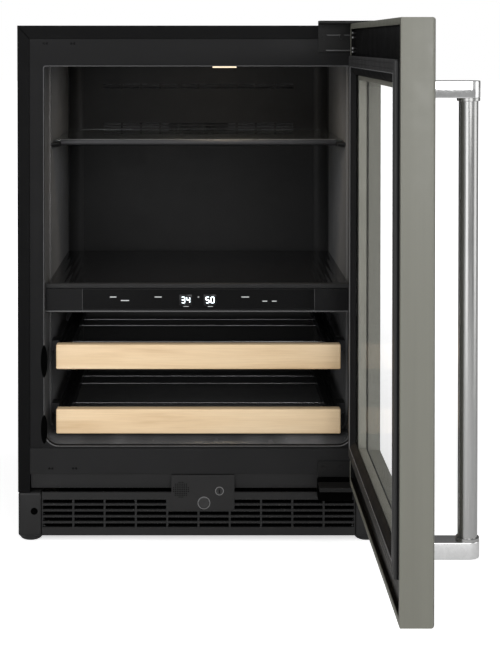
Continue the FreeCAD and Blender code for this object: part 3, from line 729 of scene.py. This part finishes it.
class COOLER_OT_shelf(CoolerOperator):
    """Metal nose on the glass shelf's front edge, with a pale line along its top as a painted
    highlight
    """

    bl_idname = "cooler.shelf"
    bl_label = "Shelf trim"

    def build(self):
        """Section carried along X: a half-round nose, and two lips that hold the glass. The
        line is a rounded box."""
        low, high = low_of("shelf_trim"), high_of("shelf_trim")
        glass_low, glass_high = low_of("glass_shelf"), high_of("glass_shelf")
        gap = 0.02 * MM
        radius = (high[2] - low[2]) / 2
        middle = (high[2] + low[2]) / 2
        outline = [(high[1], high[2]), (high[1], glass_high[2] + gap),
                   (glass_low[1], glass_high[2] + gap), (glass_low[1], glass_low[2] - gap),
                   (high[1], glass_low[2] - gap), (high[1], low[2])]
        reach = 3 * MM
        for across, rise in edge_arc(1.0, 10, 270, 90):
            outline.append((low[1] + reach + across * reach, middle + rise * radius))
        nose = extruded(Surface(), outline, low[0], high[0])
        nose.piece("shelf_nose", "shelf", "dark_trim", ["shelf_trim"])
        # Painted highlight: a pale line along the top of the nose.
        line = rounded_box(Surface(), (low[0], low[1] + 0.2 * MM, high[2] - 1.6 * MM),
                           (high[0], low[1] + 4 * MM, high[2] + 0.2 * MM), 0.5 * MM, 3)
        line.piece("shelf_edge_highlight", "shelf", "painted_highlight_grey")


class COOLER_OT_controls(CoolerOperator):
    """Displays, generic digits and touch marks on the control glass"""

    bl_idname = "cooler.controls"
    bl_label = "Controls"

    SEGMENTS = {"0": "abcdef", "3": "abcdg", "4": "bcfg", "5": "acdfg"}

    def build(self):
        """Digits are seven-segment bars; marks are short bars."""
        face = low_of("control_glass")[1]
        windows = Surface()
        digits = Surface()
        low, high = low_of("display_modules"), high_of("display_modules")
        wide = 21 * MM
        middle = (low[2] + high[2]) / 2
        start, pitch = 6.3 * MM, 8.4 * MM
        for text, left in (("34", low[0]), ("50", high[0] - wide)):
            rounded_box(windows, (left, face - 0.25 * MM, low[2]),
                        (left + wide, face + 0.3 * MM, high[2]), 0.12 * MM, 2)
            for place, digit in enumerate(text):
                self.digit(digits, digit, left + start + place * pitch, middle, face)
        windows.piece("display_windows", CABINET, "display")
        digits.piece("display_digits", CABINET, "digit_light")
        marks = Surface()
        for x, rise, length in ((-144, 5, 11), (-124, -1, 14), (-68, 5, 12), (0, 5, 2.4),
                                (79, 5, 13), (-21, -11, 9), (20, -11, 9), (112, -2, 8),
                                (128, -2, 8)):
            thick = 1.4 if rise > -10 else 0.7
            self.bar(marks, x * MM, middle + rise * MM, length * MM, thick * MM, face)
        marks.piece("touch_marks", CABINET, "legend_print")

    def bar(self, surface, x, z, long, tall, face):
        """Small upright-faced bar centred on x and z."""
        rounded_box(surface, (x - long / 2, face - 0.28 * MM, z - tall / 2),
                    (x + long / 2, face + 0.2 * MM, z + tall / 2), 0.1 * MM, 1)

    def digit(self, surface, digit, x, z, face):
        """One seven-segment digit centred on x and z."""
        half, tall, thick = 2.5 * MM, 4.7 * MM, 1.25 * MM
        places = {"a": (0, tall, True), "b": (half, tall / 2, False),
                  "c": (half, -tall / 2, False), "d": (0, -tall, True),
                  "e": (-half, -tall / 2, False), "f": (-half, tall / 2, False),
                  "g": (0, 0, True)}
        for name in self.SEGMENTS[digit]:
            across, rise, level = places[name]
            long = 1.9 * half if level else thick
            high = thick if level else tall * 0.86
            rounded_box(surface,
                        (x + across - long / 2, face - 0.4 * MM, z + rise - high / 2),
                        (x + across + long / 2, face + 0.1 * MM, z + rise + high / 2),
                        0.1 * MM, 1)


class COOLER_OT_boots(CoolerOperator):
    """Corner boots with round feet, and the plugs of their holes"""

    bl_idname = "cooler.boots"
    bl_label = "Boots"

    def build(self):
        """Each boot is a rounded box over a turned foot; each plug is a turned dish."""
        low, high = low_of("toe_boots"), high_of("toe_boots")
        wide = 40 * MM
        hole_x, hole_z = 276 * MM, 39 * MM
        boots, plugs = Surface(), Surface()
        for side in (-1, 1):
            left = low[0] if side < 0 else high[0] - wide
            rounded_box(boots, (left, low[1], low[2] + 8 * MM), (left + wide, high[1], high[2]),
                        5 * MM, 6)
            turned(boots, (left + wide / 2, low[1] + wide / 2 + 0.5 * MM, low[2]), 2,
                   [(0, 11 * MM), (0.5 * MM, 14 * MM), (2 * MM, 17 * MM), (4.5 * MM, 19 * MM),
                    (8 * MM, 19.9 * MM), (15 * MM, 19.9 * MM)], 48)
            turned(plugs, (side * hole_x, low[1], hole_z), 1,
                   [(-0.25 * MM, 4.6 * MM), (-0.45 * MM, 5.0 * MM), (-0.45 * MM, 5.4 * MM),
                    (-0.1 * MM, 6.0 * MM), (0.6 * MM, 6.0 * MM)], 32)
        boots.piece("corner_boots", CABINET, "grille_plastic", ["toe_boots"])
        plugs.piece("boot_plugs", CABINET, "black_and_painted_shade")


class COOLER_OT_front_details(CoolerOperator):
    """Plugs, painted shadows beside the boards, pale lines as painted highlights, threshold and
    corner seams in front, and rear screws
    """

    bl_idname = "cooler.front_details"
    bl_label = "Front details"

    def build(self):
        """Small turned, swept and stacked pieces on the cabinet's front and back."""
        self.plugs()
        self.shadow_spots()
        self.highlight_beads()
        self.threshold()
        self.mitres()
        self.rear_screws()

    def mitres(self):
        """Dark seams across both upper corners of the outer flange: a strip along a diagonal."""
        outer, inner = high_of("top_panel"), high_of("face_frame")
        half, margin = 0.45 * MM, 0.6 * MM
        seams = Surface()
        for side in (-1, 1):
            start = np.array([side * (outer[0] - margin), outer[2] - margin])
            end = np.array([side * inner[0], inner[2]])
            across = np.array([start[1] - end[1], end[0] - start[0]])
            across *= half / np.hypot(*across)
            outline = [start - across, end - across, end + across, start + across]
            seams.stacked([[(x, FRONT_Y + depth, z) for x, z in outline]
                           for depth in (0.4 * MM, 0.0)])
        seams.piece("mitre_seams", CABINET, "black_and_painted_shade", flat=True)

    def rear_screws(self):
        """Flat screw heads let in flush round the rear panel and the machine cover."""
        low, high = low_of("rear_panel"), high_of("rear_panel")
        cover = low_of("machine_cover")[2]
        screws = Surface()
        left, right = low[0] + 12 * MM, high[0] - 12 * MM
        places = [(x, z) for x in np.linspace(left, right, 5)
                  for z in (high[2] - 10 * MM, low[2] + 10 * MM, low[2] - 9 * MM,
                            cover + 10 * MM)]
        places += [(x, z) for x in (left, right) for z in (310 * MM, 490 * MM, 670 * MM)]
        for x, z in places:
            turned(screws, (x, high[1], z), 1,
                   [(-0.5 * MM, 3.6 * MM), (-0.1 * MM, 3.6 * MM), (0.0, 3.2 * MM)], 20)
        screws.piece("rear_screws", CABINET, "zinc")

    def plugs(self):
        """Pairs of low domes that close unused screw holes."""
        face, panel = low_of("face_frame")[1], low_of("lower_face_panel")[1]
        plugs = Surface()
        for x, z, y in ((-256, 825, face), (-210, 825, face), (-248, 111, panel),
                        (-208, 111, panel)):
            for apart in (-2.6, 2.6):
                turned(plugs, ((x + apart) * MM, y, z * MM), 1,
                       [(-0.5 * MM, 0.6 * MM), (-0.4 * MM, 1.5 * MM), (0.1 * MM, 2.1 * MM),
                        (0.4 * MM, 2.1 * MM)], 20)
        plugs.piece("screw_hole_plugs", CABINET, "black_enamel")

    def shadow_spots(self):
        """Flat dark ellipses beside the boards, painted shadow where the boards' ends meet the
        opening: half width times the cosine of an angle, and half height times its sine."""
        face = low_of("face_frame")[1]
        angle = np.linspace(0, 2 * math.pi, 48, endpoint=False)
        centre, width = 259 * MM, 5.5 * MM
        spots = Surface()
        for side in (-1, 1):
            for height, half in ((291.5 * MM, 27 * MM), (177 * MM, 24 * MM)):
                across = side * centre + width * np.cos(angle)
                up = height + half * np.sin(angle)
                spots.stacked([np.column_stack([across, np.full(len(angle), face + depth), up])
                               for depth in (-0.25 * MM, 0.3 * MM)])
        spots.piece("board_end_shadows", CABINET, "black_and_painted_shade", flat=True)

    def highlight_beads(self):
        """Pale strips as painted highlights: round the opening, and under and beside the control
        glass.
        """
        face = low_of("face_frame")[1] - FRONT_Y
        hole, radii = inset(opening(), -0.4 * MM), opening_radii()
        rows = []
        half, seat = 0.75 * MM, face + 1.4 * MM
        for across, rise in edge_arc(half, 6, 180, 0):
            rows.append((inset(hole, across), radii, face + 0.7 * MM - rise))
        rows += [(inset(hole, half), radii, seat), (inset(hole, -half), radii, seat)]
        # Painted highlight: a pale round strip along the opening's edge.
        highlight_line = Surface().swept(rows, shape().arc_steps, cabinet_place)
        highlight_line.piece("opening_highlight", CABINET, "painted_highlight_grey")
        low, high = low_of("control_housing"), high_of("control_housing")
        # Painted highlights: pale strips under and beside the control glass.
        edge_highlights = Surface()
        rounded_box(edge_highlights, (low[0], low[1] - 0.8 * MM, low[2] - 0.4 * MM),
                    (high[0], low[1] + 1 * MM, low[2] + 2 * MM), 0.6 * MM, 3)
        for side in (-1, 1):
            x = side * high_of("control_glass")[0]
            rounded_box(edge_highlights, (x - 0.3 * MM, low[1] - 0.7 * MM, low[2] + 2 * MM),
                        (x + 0.3 * MM, low[1] + 1 * MM, high[2]), 0.2 * MM, 2)
        edge_highlights.piece("control_highlights", CABINET, "painted_highlight_grey")

    def threshold(self):
        """Curved sill under the lower rack: its height is the sine of a quarter turn over the
        depth, and it is as wide as the opening's rounded low corners leave at each height."""
        floor, radius = opening()[0][1], shape().low_corner
        part = np.linspace(0, 1, 12)
        start, end, under = 13.5 * MM, 60 * MM, floor + 0.15 * MM
        depth = np.concatenate([start + 26 * MM * part, [end, end, start]])
        up = floor + 0.4 * MM + 13 * MM * np.sin(part * math.pi / 2)
        up = np.concatenate([up, [up[-1], under, under]])
        rise = up - floor
        half = opening()[1][0] - radius + np.sqrt(radius ** 2 - (radius - rise) ** 2) - 0.5 * MM
        sill = Surface().stacked([np.column_stack([side * half, FRONT_Y + depth, up])
                                  for side in np.linspace(-1, 1, 9)])
        sill.piece("threshold_sill", CABINET, "sill_gloss")


class COOLER_OT_hinges(CoolerOperator):
    """Cover on the lower hinge, pale ribs on the upper one as painted highlights along its
    grooves, and bolts and stops on the door
    """

    bl_idname = "cooler.hinges"
    bl_label = "Hinge details"

    def build(self):
        """Cover and ribs are rounded boxes, bolts and stops are turned profiles."""
        low = low_of("lower_hinge_bracket")
        cover = Surface()
        rounded_box(cover, (low[0] - 1 * MM, FRONT_Y - 9 * MM, low[2] - 1 * MM),
                    (low[0] + 58 * MM, FRONT_Y - 0.2 * MM, low[2] + 34 * MM), 4 * MM, 6)
        rounded_box(cover, (low[0] - 1.2 * MM, FRONT_Y - 26 * MM, low[2] - 1.2 * MM),
                    (low[0] + 57 * MM, FRONT_Y - 1 * MM, low[2] + 26.5 * MM), 6 * MM, 6)
        cover.piece("lower_hinge_cover", CABINET, "black_and_painted_shade")
        left = low_of("upper_hinge_bracket")[0]
        # Painted highlights: pale ribs along the upper hinge's grooves.
        ribs = Surface()
        for level in (839 * MM, 813.5 * MM):
            rounded_box(ribs, (left + 13 * MM, FRONT_Y - 3.2 * MM, level - 0.8 * MM),
                        (left + 56 * MM, FRONT_Y - 1.9 * MM, level + 0.8 * MM), 0.4 * MM, 2)
        ribs.piece("hinge_groove_highlights", CABINET, "painted_highlight_grey")
        plate_x = DOOR_INNER_X - DOOR_BACK + 17.3 * MM
        bolts, stops = Surface(), Surface()
        for level in (842.5 * MM, 835 * MM, 817 * MM, 811 * MM):
            turned(bolts, (plate_x, FRONT_Y - 33 * MM, level), 0,
                   [(-5.4 * MM, 1.2 * MM), (-5.2 * MM, 2.1 * MM), (-2.0 * MM, 2.1 * MM),
                    (0, 2.1 * MM)], 24)
            turned(stops, (plate_x, FRONT_Y - 39 * MM, level), 0,
                   [(-3.4 * MM, 1.6 * MM), (-3.0 * MM, 2.0 * MM), (0, 2.0 * MM)], 20)
        bolts.piece("hinge_bolts", DOOR, "zinc")
        stops.piece("hinge_stops", DOOR, "rack_steel")


class COOLER_OT_grille_plate(CoolerOperator):
    """Black sounder dots as painted shade in the holes, rings and button cap on the centre plate,
    and a black sheet behind the grille as painted shade
    """

    bl_idname = "cooler.grille_plate"
    bl_label = "Plate details"

    def build(self):
        """Dots stand on a square grid inside a circle; dots and cap are turned about Y."""
        face = low_of("grille_centre_plate")[1]
        centre_x, centre_z, pitch = -29.4 * MM, 76 * MM, 3.1 * MM
        step = np.arange(-4, 5) * pitch
        across, up = np.meshgrid(step, step)
        near = np.hypot(across, up) < 4.4 * pitch
        # Painted shade: flat black discs in the mouths of the sounder holes.
        dots = Surface()
        for x, z in zip(across[near], up[near]):
            turned(dots, (centre_x + x, face, centre_z + z), 1,
                   [(-0.12 * MM, 0.9 * MM), (0.3 * MM, 0.9 * MM)], 12)
        dots.piece("sounder_hole_shade", CABINET, "black_and_painted_shade")
        self.screen()
        rings = Surface()
        low, high = low_of("lock_cylinder"), high_of("lock_cylinder")
        lock_middle = (low + high) / 2
        low, high = low_of("power_button"), high_of("power_button")
        middle = (low + high) / 2
        self.ring(rings, middle, face, 9.4 * MM, 10.6 * MM)
        self.ring(rings, lock_middle, face, 6.2 * MM, 7.2 * MM)
        rings.piece("plate_rings", CABINET, "pale_rings_and_painted_highlight")
        radius = (high[0] - low[0]) / 2
        front, back = low[1] - middle[1], high[1] - middle[1]
        profile = [(front + 0.5 * MM, 0.4 * MM), (front + 0.1 * MM, radius * 0.7),
                   (front, radius * 0.9), (front + 0.5 * MM, radius), (back, radius)]
        cap = turned(Surface(), middle, 1, profile, 48)
        cap.piece("button_cap", "button", "button_plastic", ["power_button"])

    def screen(self):
        """Pleated black sheet behind the slots, painted shade for the dark space inside the base:
        depth is a cosine of the distance across.
        """
        low, high = low_of("toe_grille"), high_of("toe_grille")
        middle, wave, pleat, thick = high[1] + 9 * MM, 2 * MM, 8 * MM, 0.8 * MM
        across = np.linspace(low[0] + 3 * MM, high[0] - 3 * MM, 521)
        depth = middle + wave * np.cos(2 * math.pi * across / pleat)
        outline = np.concatenate([np.column_stack([across, depth]),
                                  np.column_stack([across, depth + thick])[::-1]])
        screen = Surface().stacked([np.column_stack([outline, np.full(len(outline), level)])
                                    for level in (low[2] + 3 * MM, high[2] - 2 * MM)])
        screen.piece("grille_shade_screen", CABINET, "black_and_painted_shade")

    def ring(self, surface, centre, face, inner, outer):
        """Flat ring that stands on the plate: circles of two radii at two depths."""
        angle = np.linspace(0, 2 * math.pi, 48, endpoint=False)
        rows = []
        for radius, depth in ((inner, 0.2 * MM), (inner, -0.3 * MM), (outer, -0.3 * MM),
                              (outer, 0.2 * MM)):
            rows.append(np.column_stack([centre[0] + radius * np.cos(angle),
                                         np.full(len(angle), face + depth),
                                         centre[2] + radius * np.sin(angle)]))
        surface.grid(np.stack(rows), wrap_rows=True, wrap_columns=True)


class COOLER_OT_boards(CoolerOperator):
    """Light wood fronts of both racks, with softly rounded edges"""

    bl_idname = "cooler.boards"
    bl_label = "Rack boards"

    def build(self):
        """Each board is a rounded box in the space of its frame node."""
        for rack in ("upper_rack", "lower_rack"):
            node = f"{rack}_front"
            board = rounded_box(Surface(), low_of(node), high_of(node), shape().board_edge)
            board.piece(f"{rack}_board", rack, "wood", [node])


# ---------------------------------------------------------------- door pieces

# Depths of the black tray's two faces, as door_place() takes them.
TRAY_FACE = 17.2 * MM
TRAY_BACK = 18.3 * MM
# How far the panes reach past the window's edge.
PANE_LAP = 7.7 * MM
# Segments in a quarter turn of the tray's, moulding's and seal's corners.
DOOR_STEPS = 6


def door_outer():
    """Outer rectangle of the door, across from its middle and up."""
    low, high = low_of("door_skin"), high_of("door_skin")
    half = (high[1] - low[1]) / 2
    return (-half, low[2]), (half, high[2])


def window():
    """Window rectangle of the door."""
    low, high = low_of("door_panes"), high_of("door_panes")
    half = (high[1] - low[1]) / 2
    return inset(((-half, low[2]), (half, high[2])), PANE_LAP)


def uneven(rectangle, sides):
    """Rectangle drawn in by its own amount on the left, bottom, right and top."""
    (left, bottom), (right, top) = rectangle
    return (left + sides[0], bottom + sides[1]), (right - sides[2], top - sides[3])


class COOLER_OT_door_panel(CoolerOperator):
    """Painted door panel with eased edges, hollow at the back, and the panes' edge tape"""

    bl_idname = "cooler.door_panel"
    bl_label = "Door panel"

    def build(self):
        """Section carried round the window: rim, side, front face, reveal, and back inside. The
        rim is narrow on the hinge side. The tape is a thin band round the panes' edge."""
        outer, hole = door_outer(), window()
        face = high_of("door_skin")[0] - DOOR_INNER_X + DOOR_BACK
        back, front, ease = 0.7 * MM, 4.5 * MM, 1.0 * MM
        wide, narrow = shape().rim, 1.3 * MM
        rim = (wide, wide, narrow, wide)
        within = tuple(side - 0.5 * MM for side in rim)
        crisp = (0.4 * MM, 0.4 * MM)
        rows = [(uneven(outer, rim), crisp, TRAY_FACE - 0.1 * MM),
                (uneven(outer, rim), crisp, DOOR_BACK + 0.5 * MM),
                (uneven(outer, within), crisp, DOOR_BACK)]
        for across, rise in edge_arc(back, 4, 90, 0):
            rows.append((inset(outer, back - across), crisp, DOOR_BACK + back - rise))
        for across, rise in edge_arc(front, 6, 0, 90):
            rows.append((inset(outer, front - across), crisp, face - front + rise))
        for across, rise in edge_arc(ease, 4, 90, 0):
            rows.append((inset(hole, -(ease - across)), crisp, face - ease + rise))
        wall, inside, pane_front = 1.2 * MM, face - 1.5 * MM, 35.3 * MM
        rows += [(hole, crisp, pane_front), (inset(hole, -wall), crisp, pane_front),
                 (inset(hole, -wall), crisp, inside), (inset(outer, front), crisp, inside),
                 (inset(outer, wall), crisp, face - front),
                 (inset(outer, wall), crisp, TRAY_BACK + 0.1 * MM),
                 (uneven(outer, rim), crisp, TRAY_BACK + 0.1 * MM)]
        skin = Surface().swept(rows, 3, door_place)
        skin.piece("door_panel", DOOR, "door_paint", ["door_skin"])
        # The tape's finish is lighter than the door paint: painted light for its shaded place
        # behind the panes.
        near, far = inset(hole, -PANE_LAP - 0.02 * MM), inset(hole, -PANE_LAP - 0.6 * MM)
        low, high = pane_front - 3.9 * MM, pane_front - 0.2 * MM
        rows = [(near, crisp, low), (near, crisp, high), (far, crisp, high), (far, crisp, low)]
        tape = Surface().swept(rows, 3, door_place)
        tape.piece("pane_edge_tape", DOOR, "spacer_metal")


class COOLER_OT_door_moulding(CoolerOperator):
    """Black back tray of the door, its sloped moulding to the glass, and the grooved seal"""

    bl_idname = "cooler.door_moulding"
    bl_label = "Door moulding and seal"

    def build(self):
        """Closed sections carried round the window by rounded rectangles: the tray lines the
        hollow, the moulding rises to the seal and slopes to the glass."""
        outer, hole = door_outer(), window()
        seal_low, seal_high = low_of("door_gasket"), high_of("door_gasket")
        half = (seal_high[1] - seal_low[1]) / 2
        edge = (-half, seal_low[2]), (half, seal_high[2])
        soft = (3 * MM, 3 * MM)
        self.tray(outer, edge, soft)
        self.moulding(edge, hole, soft)
        self.seal(edge, soft)

    def tray(self, outer, edge, soft):
        """Thin black sheet: up inside the rim, and across the hollow to the moulding."""
        wide = shape().rim + 0.3 * MM
        narrow, thick, lip = 1.6 * MM, 0.5 * MM, DOOR_BACK + 0.9 * MM
        rim = (wide, wide, narrow, wide)
        inner = uneven(outer, tuple(side + thick for side in rim))
        end = inset(edge, -0.3 * MM)
        rows = [(uneven(outer, rim), soft, TRAY_BACK), (uneven(outer, rim), soft, lip),
                (inner, soft, lip), (inner, soft, TRAY_FACE), (end, soft, TRAY_FACE),
                (end, soft, TRAY_BACK)]
        sheet = Surface().swept(rows, DOOR_STEPS, door_place)
        sheet.piece("door_back_tray", DOOR, "tray_black")

    def moulding(self, edge, hole, soft):
        """Seat under the seal, a rolled crest, and a hollow slope down to the glass."""
        crest = inset(edge, 18.4 * MM)
        seat, pane_back = 9.95 * MM, 14.9 * MM
        rows = [(edge, soft, TRAY_BACK), (edge, soft, seat + 0.45 * MM),
                (inset(edge, 0.5 * MM), soft, seat), (inset(edge, 18.2 * MM), soft, seat)]
        radius = 1.2 * MM
        top = 6.6 * MM
        for across, rise in edge_arc(radius, 5, 180, 20):
            rows.append((inset(crest, radius + across), soft, top + radius - rise))
        deep = pane_back - top - radius
        span = hole[1][0] - crest[1][0]
        for part in np.linspace(0.25, 1, 8):
            drawn = 2 * radius + (-span - 2 * radius) * part
            rows.append((inset(crest, drawn), soft, top + radius + deep * part ** 1.6))
        under = inset(hole, -9.9 * MM)
        rows += [(under, soft, pane_back), (under, soft, TRAY_BACK)]
        bevel = Surface().swept(rows, DOOR_STEPS, door_place)
        bevel.piece("door_inner_moulding", DOOR, "door_frame_plastic", ["door_inner_frame"])

    def seal(self, edge, soft):
        """Broad flat seal with two shallow grooves and rounded edges, and a thin pale round strip
        inside it as a painted highlight along the seal's inner edge.
        """
        face = low_of("door_gasket")[0] - DOOR_INNER_X + DOOR_BACK
        base, wide, outer, inner = 9.8 * MM, 17.9 * MM, 1.4 * MM, 0.9 * MM
        rows = [(edge, soft, base), (edge, soft, face + 1.6 * MM)]
        for across, rise in edge_arc(outer, 5, 0, 90):
            rows.append((inset(edge, outer - across), soft, face + outer - rise))
        for at, depth in ((4.6, 0.0), (5.0, 0.7), (5.8, 0.7), (6.2, 0.0), (11.4, 0.0),
                          (11.8, 0.7), (12.6, 0.7), (13.0, 0.0)):
            rows.append((inset(edge, at * MM), soft, face + depth * MM))
        for across, rise in edge_arc(inner, 4, 90, 0):
            rows.append((inset(edge, wide - inner + across), soft, face + inner - rise))
        rows.append((inset(edge, wide), soft, base))
        seal = Surface().swept(rows, DOOR_STEPS, door_place)
        seal.piece("door_seal", DOOR, "gasket_rubber", ["door_gasket"])
        # Painted highlight: a pale round strip along the seal's inner edge.
        rows = [(inset(edge, wide + across), soft, face + 0.4 * MM - rise)
                for across, rise in edge_arc(0.6 * MM, 8, 0, 315)]
        highlight_line = Surface().swept(rows, DOOR_STEPS, door_place)
        highlight_line.piece("door_seal_highlight", DOOR, "pale_rings_and_painted_highlight")


class COOLER_OT_handle(CoolerOperator):
    """Round bar handle with collars between two solid brackets"""

    bl_idname = "cooler.handle"
    bl_label = "Handle"

    def build(self):
        """The bar is turned about Z; each bracket stacks an outline of two straight sides and a
        half circle, drawn in at its edges."""
        low, high = low_of("handle_bar"), high_of("handle_bar")
        centre = (low + high) / 2
        radius = (high[0] - low[0]) / 2
        half = (high[2] - low[2]) / 2
        collar = radius + 2.4 * MM
        ends = [(0, collar), (3.4 * MM, collar), (3.9 * MM, collar - 0.5 * MM),
                (4.0 * MM, radius)]
        profile = [(along - half, size) for along, size in ends]
        profile += [(half - along, size) for along, size in reversed(ends)]
        bar = turned(Surface(), centre, 2, profile, 64)
        bar.piece("handle_tube", DOOR, "handle_steel", ["handle_bar"])
        base_low, base_high = low_of("handle_brackets"), high_of("handle_brackets")
        tall = 22 * MM
        posts = Surface()
        for bottom in (base_low[2], base_high[2] - tall):
            self.post(posts, base_low[0], centre, (base_high[1] - base_low[1]) / 2, bottom, tall)
        posts.piece("handle_posts", DOOR, "handle_chrome", ["handle_brackets"])

    def post(self, surface, wall, centre, half, bottom, tall):
        """One bracket: outline drawn in by ease times one minus cosine at its edges."""
        ease = 1.2 * MM
        rows = [(ease - across, bottom + ease + rise)
                for across, rise in edge_arc(ease, 4, -90, 0)]
        rows += [(ease - across, bottom + tall - ease + rise)
                 for across, rise in edge_arc(ease, 4, 0, 90)]
        grid = []
        for drawn, level in rows:
            radius = half - drawn
            angle = np.radians(np.linspace(-90, 90, 33))
            end = np.column_stack([centre[0] + radius * np.cos(angle),
                                   centre[1] + radius * np.sin(angle)])
            start = [(wall + drawn, centre[1] + radius), (wall + drawn, centre[1] - radius)]
            outline = np.concatenate([end, np.array(start)])
            grid.append(np.column_stack([outline, np.full(len(outline), level)]))
        surface.stacked(grid)


# ---------------------------------------------------------------- stage

class COOLER_OT_stage(CoolerOperator):
    """Floor, soft lights and camera"""

    bl_idname = "cooler.stage"
    bl_label = "Stage"

    def build(self):
        """A pale floor, a pale surrounding light, soft area lights, and the camera."""
        self.floor()
        self.world()
        self.lights()
        self.camera()
        settings = bpy.context.scene.view_settings
        settings.view_transform = "Standard"
        settings.look = "None"

    def floor(self):
        """Flat sheet, lit up for the camera so that it pales to white away from the cooler."""
        floor_z = CAD_BOX[0][2]
        mesh = bpy.data.meshes.new("floor")
        far = 30.0
        corners = [(-far, -far, floor_z), (far, -far, floor_z), (far, far, floor_z),
                   (-far, far, floor_z)]
        mesh.from_pydata(corners, [], [(0, 1, 2, 3)])
        floor = bpy.data.objects.new("floor", mesh)
        bpy.context.scene.collection.objects.link(floor)
        finish = Finish("floor_paint", (0.90, 0.90, 0.90), 0.7, Specular_IOR_Level=0.1,
                        Emission_Color=(1, 1, 1, 1))
        finish.vary_roughness(finish.noise(even(3)), 0.66, 0.74)
        seen = finish.add("ShaderNodeLightPath").outputs["Is Camera Ray"]
        away = finish.add("ShaderNodeVectorMath", operation="LENGTH")
        finish.link(finish.coordinates, away.inputs[0])
        far_off = put(finish.add("ShaderNodeMapRange"), From_Min=0.7, From_Max=2.4,
                      To_Min=0.66, To_Max=1.0)
        finish.link(away.outputs["Value"], far_off.inputs["Value"])
        lift = finish.add("ShaderNodeMath", operation="MULTIPLY")
        finish.link(far_off.outputs["Result"], lift.inputs[1])
        finish.link(seen, lift.inputs[0])
        finish.link(lift.outputs[0], finish.shader.inputs["Emission Strength"])
        mesh.materials.append(finish.material)

    def world(self):
        """Backdrop that is white to the camera, and lights more from in front than behind."""
        world = bpy.data.worlds.new("studio")
        world.use_nodes = True
        tree = world.node_tree
        background = put(tree.nodes["Background"], Color=(1, 1, 1, 1))
        path = tree.nodes.new("ShaderNodeLightPath")
        way = tree.nodes.new("ShaderNodeSeparateXYZ")
        tree.links.new(tree.nodes.new("ShaderNodeTexCoord").outputs["Generated"], way.inputs[0])
        front = put(tree.nodes.new("ShaderNodeMapRange"), From_Min=1.0, From_Max=-1.0,
                    To_Min=0.12, To_Max=0.72)
        tree.links.new(way.outputs["Y"], front.inputs["Value"])
        strength = put(tree.nodes.new("ShaderNodeMapRange"), To_Max=1.0)
        tree.links.new(front.outputs["Result"], strength.inputs["To Min"])
        tree.links.new(path.outputs["Is Camera Ray"], strength.inputs["Value"])
        tree.links.new(strength.outputs["Result"], background.inputs["Strength"])
        bpy.context.scene.world = world

    def lights(self):
        """Three soft boxes in front, one beside the door, and a small lamp under the ceiling."""
        for name, place, target, size, power in (
                ("front_box", (-1.5, -3.2, 2.2), (0, 0, 0.4), 1.6, 34),
                ("right_box", (0.9, -3.2, 1.3), (-0.2, -0.2, 0.4), 1.2, 22),
                ("low_box", (-0.8, -3.2, 0.3), (0, 0, 0.3), 1.2, 10),
                ("side_box", (2.8, -1.3, 0.8), (0.34, -0.8, 0.5), 1.6, 13)):
            self.area(name, place, target, size, power)
        lamp = low_of("ceiling_light")
        self.area("ceiling_glow", (lamp[0] + 0.02, lamp[1] + 0.013, lamp[2] - 0.004),
                  (lamp[0] + 0.02, lamp[1] + 0.08, 0.2), 0.05, 0.35, tuple(colours().lamp))

    def area(self, name, place, target, size, power, colour=(1, 1, 1)):
        """One square area light that faces a point."""
        data = bpy.data.lights.new(name, "AREA")
        data.size = size
        data.energy = power
        data.color = colour
        item = bpy.data.objects.new(name, data)
        item.location = place
        direction = Vector(target) - Vector(place)
        item.rotation_euler = direction.to_track_quat("-Z", "Y").to_euler()
        bpy.context.scene.collection.objects.link(item)

    def camera(self):
        """Camera in front of the cabinet's middle, shifted towards the open door."""
        stage = bpy.context.scene.cooler_stage
        data = bpy.data.cameras.new("camera")
        data.lens = stage.lens
        data.shift_x = stage.shift_x
        data.shift_y = stage.shift_y
        item = bpy.data.objects.new("camera", data)
        item.location = (0, FRONT_Y - stage.distance, stage.height)
        item.rotation_euler = (math.pi / 2 - stage.tilt, 0, 0)
        bpy.context.scene.collection.objects.link(item)
        bpy.context.scene.camera = item


BUILDERS = (
    COOLER_OT_finishes, COOLER_OT_face_frame, COOLER_OT_liner, COOLER_OT_divider,
    COOLER_OT_shelf, COOLER_OT_controls, COOLER_OT_boots, COOLER_OT_front_details,
    COOLER_OT_grille_plate, COOLER_OT_hinges, COOLER_OT_boards,
    COOLER_OT_door_panel, COOLER_OT_door_moulding, COOLER_OT_handle, COOLER_OT_stage,
)


class COOLER_PT_panel(bpy.types.Panel):
    """Sidebar panel that lists the cooler's pieces."""

    bl_label = "Wine cooler"
    bl_space_type = "VIEW_3D"
    bl_region_type = "UI"
    bl_category = "Cooler"

    def draw(self, context):
        """One button for each operator."""
        for builder in BUILDERS:
            self.layout.operator(builder.bl_idname)


GROUPS = {"cooler_shape": CoolerShape, "cooler_colours": CoolerColours,
          "cooler_stage": CoolerStage}


def register():
    """Register the settings, operators and panel."""
    for name, group in GROUPS.items():
        bpy.utils.register_class(group)
        setattr(bpy.types.Scene, name, PointerProperty(type=group))
    for item in (*BUILDERS, COOLER_PT_panel):
        bpy.utils.register_class(item)


def unregister():
    """Take the panel, operators and settings away again."""
    for item in (COOLER_PT_panel, *reversed(BUILDERS)):
        bpy.utils.unregister_class(item)
    for name, group in GROUPS.items():
        delattr(bpy.types.Scene, name)
        bpy.utils.unregister_class(group)


def main():
    """Build the whole cooler."""
    register()
    for builder in BUILDERS:
        group, name = builder.bl_idname.split(".")
        getattr(getattr(bpy.ops, group), name)()


if __name__ == "__main__":
    main()
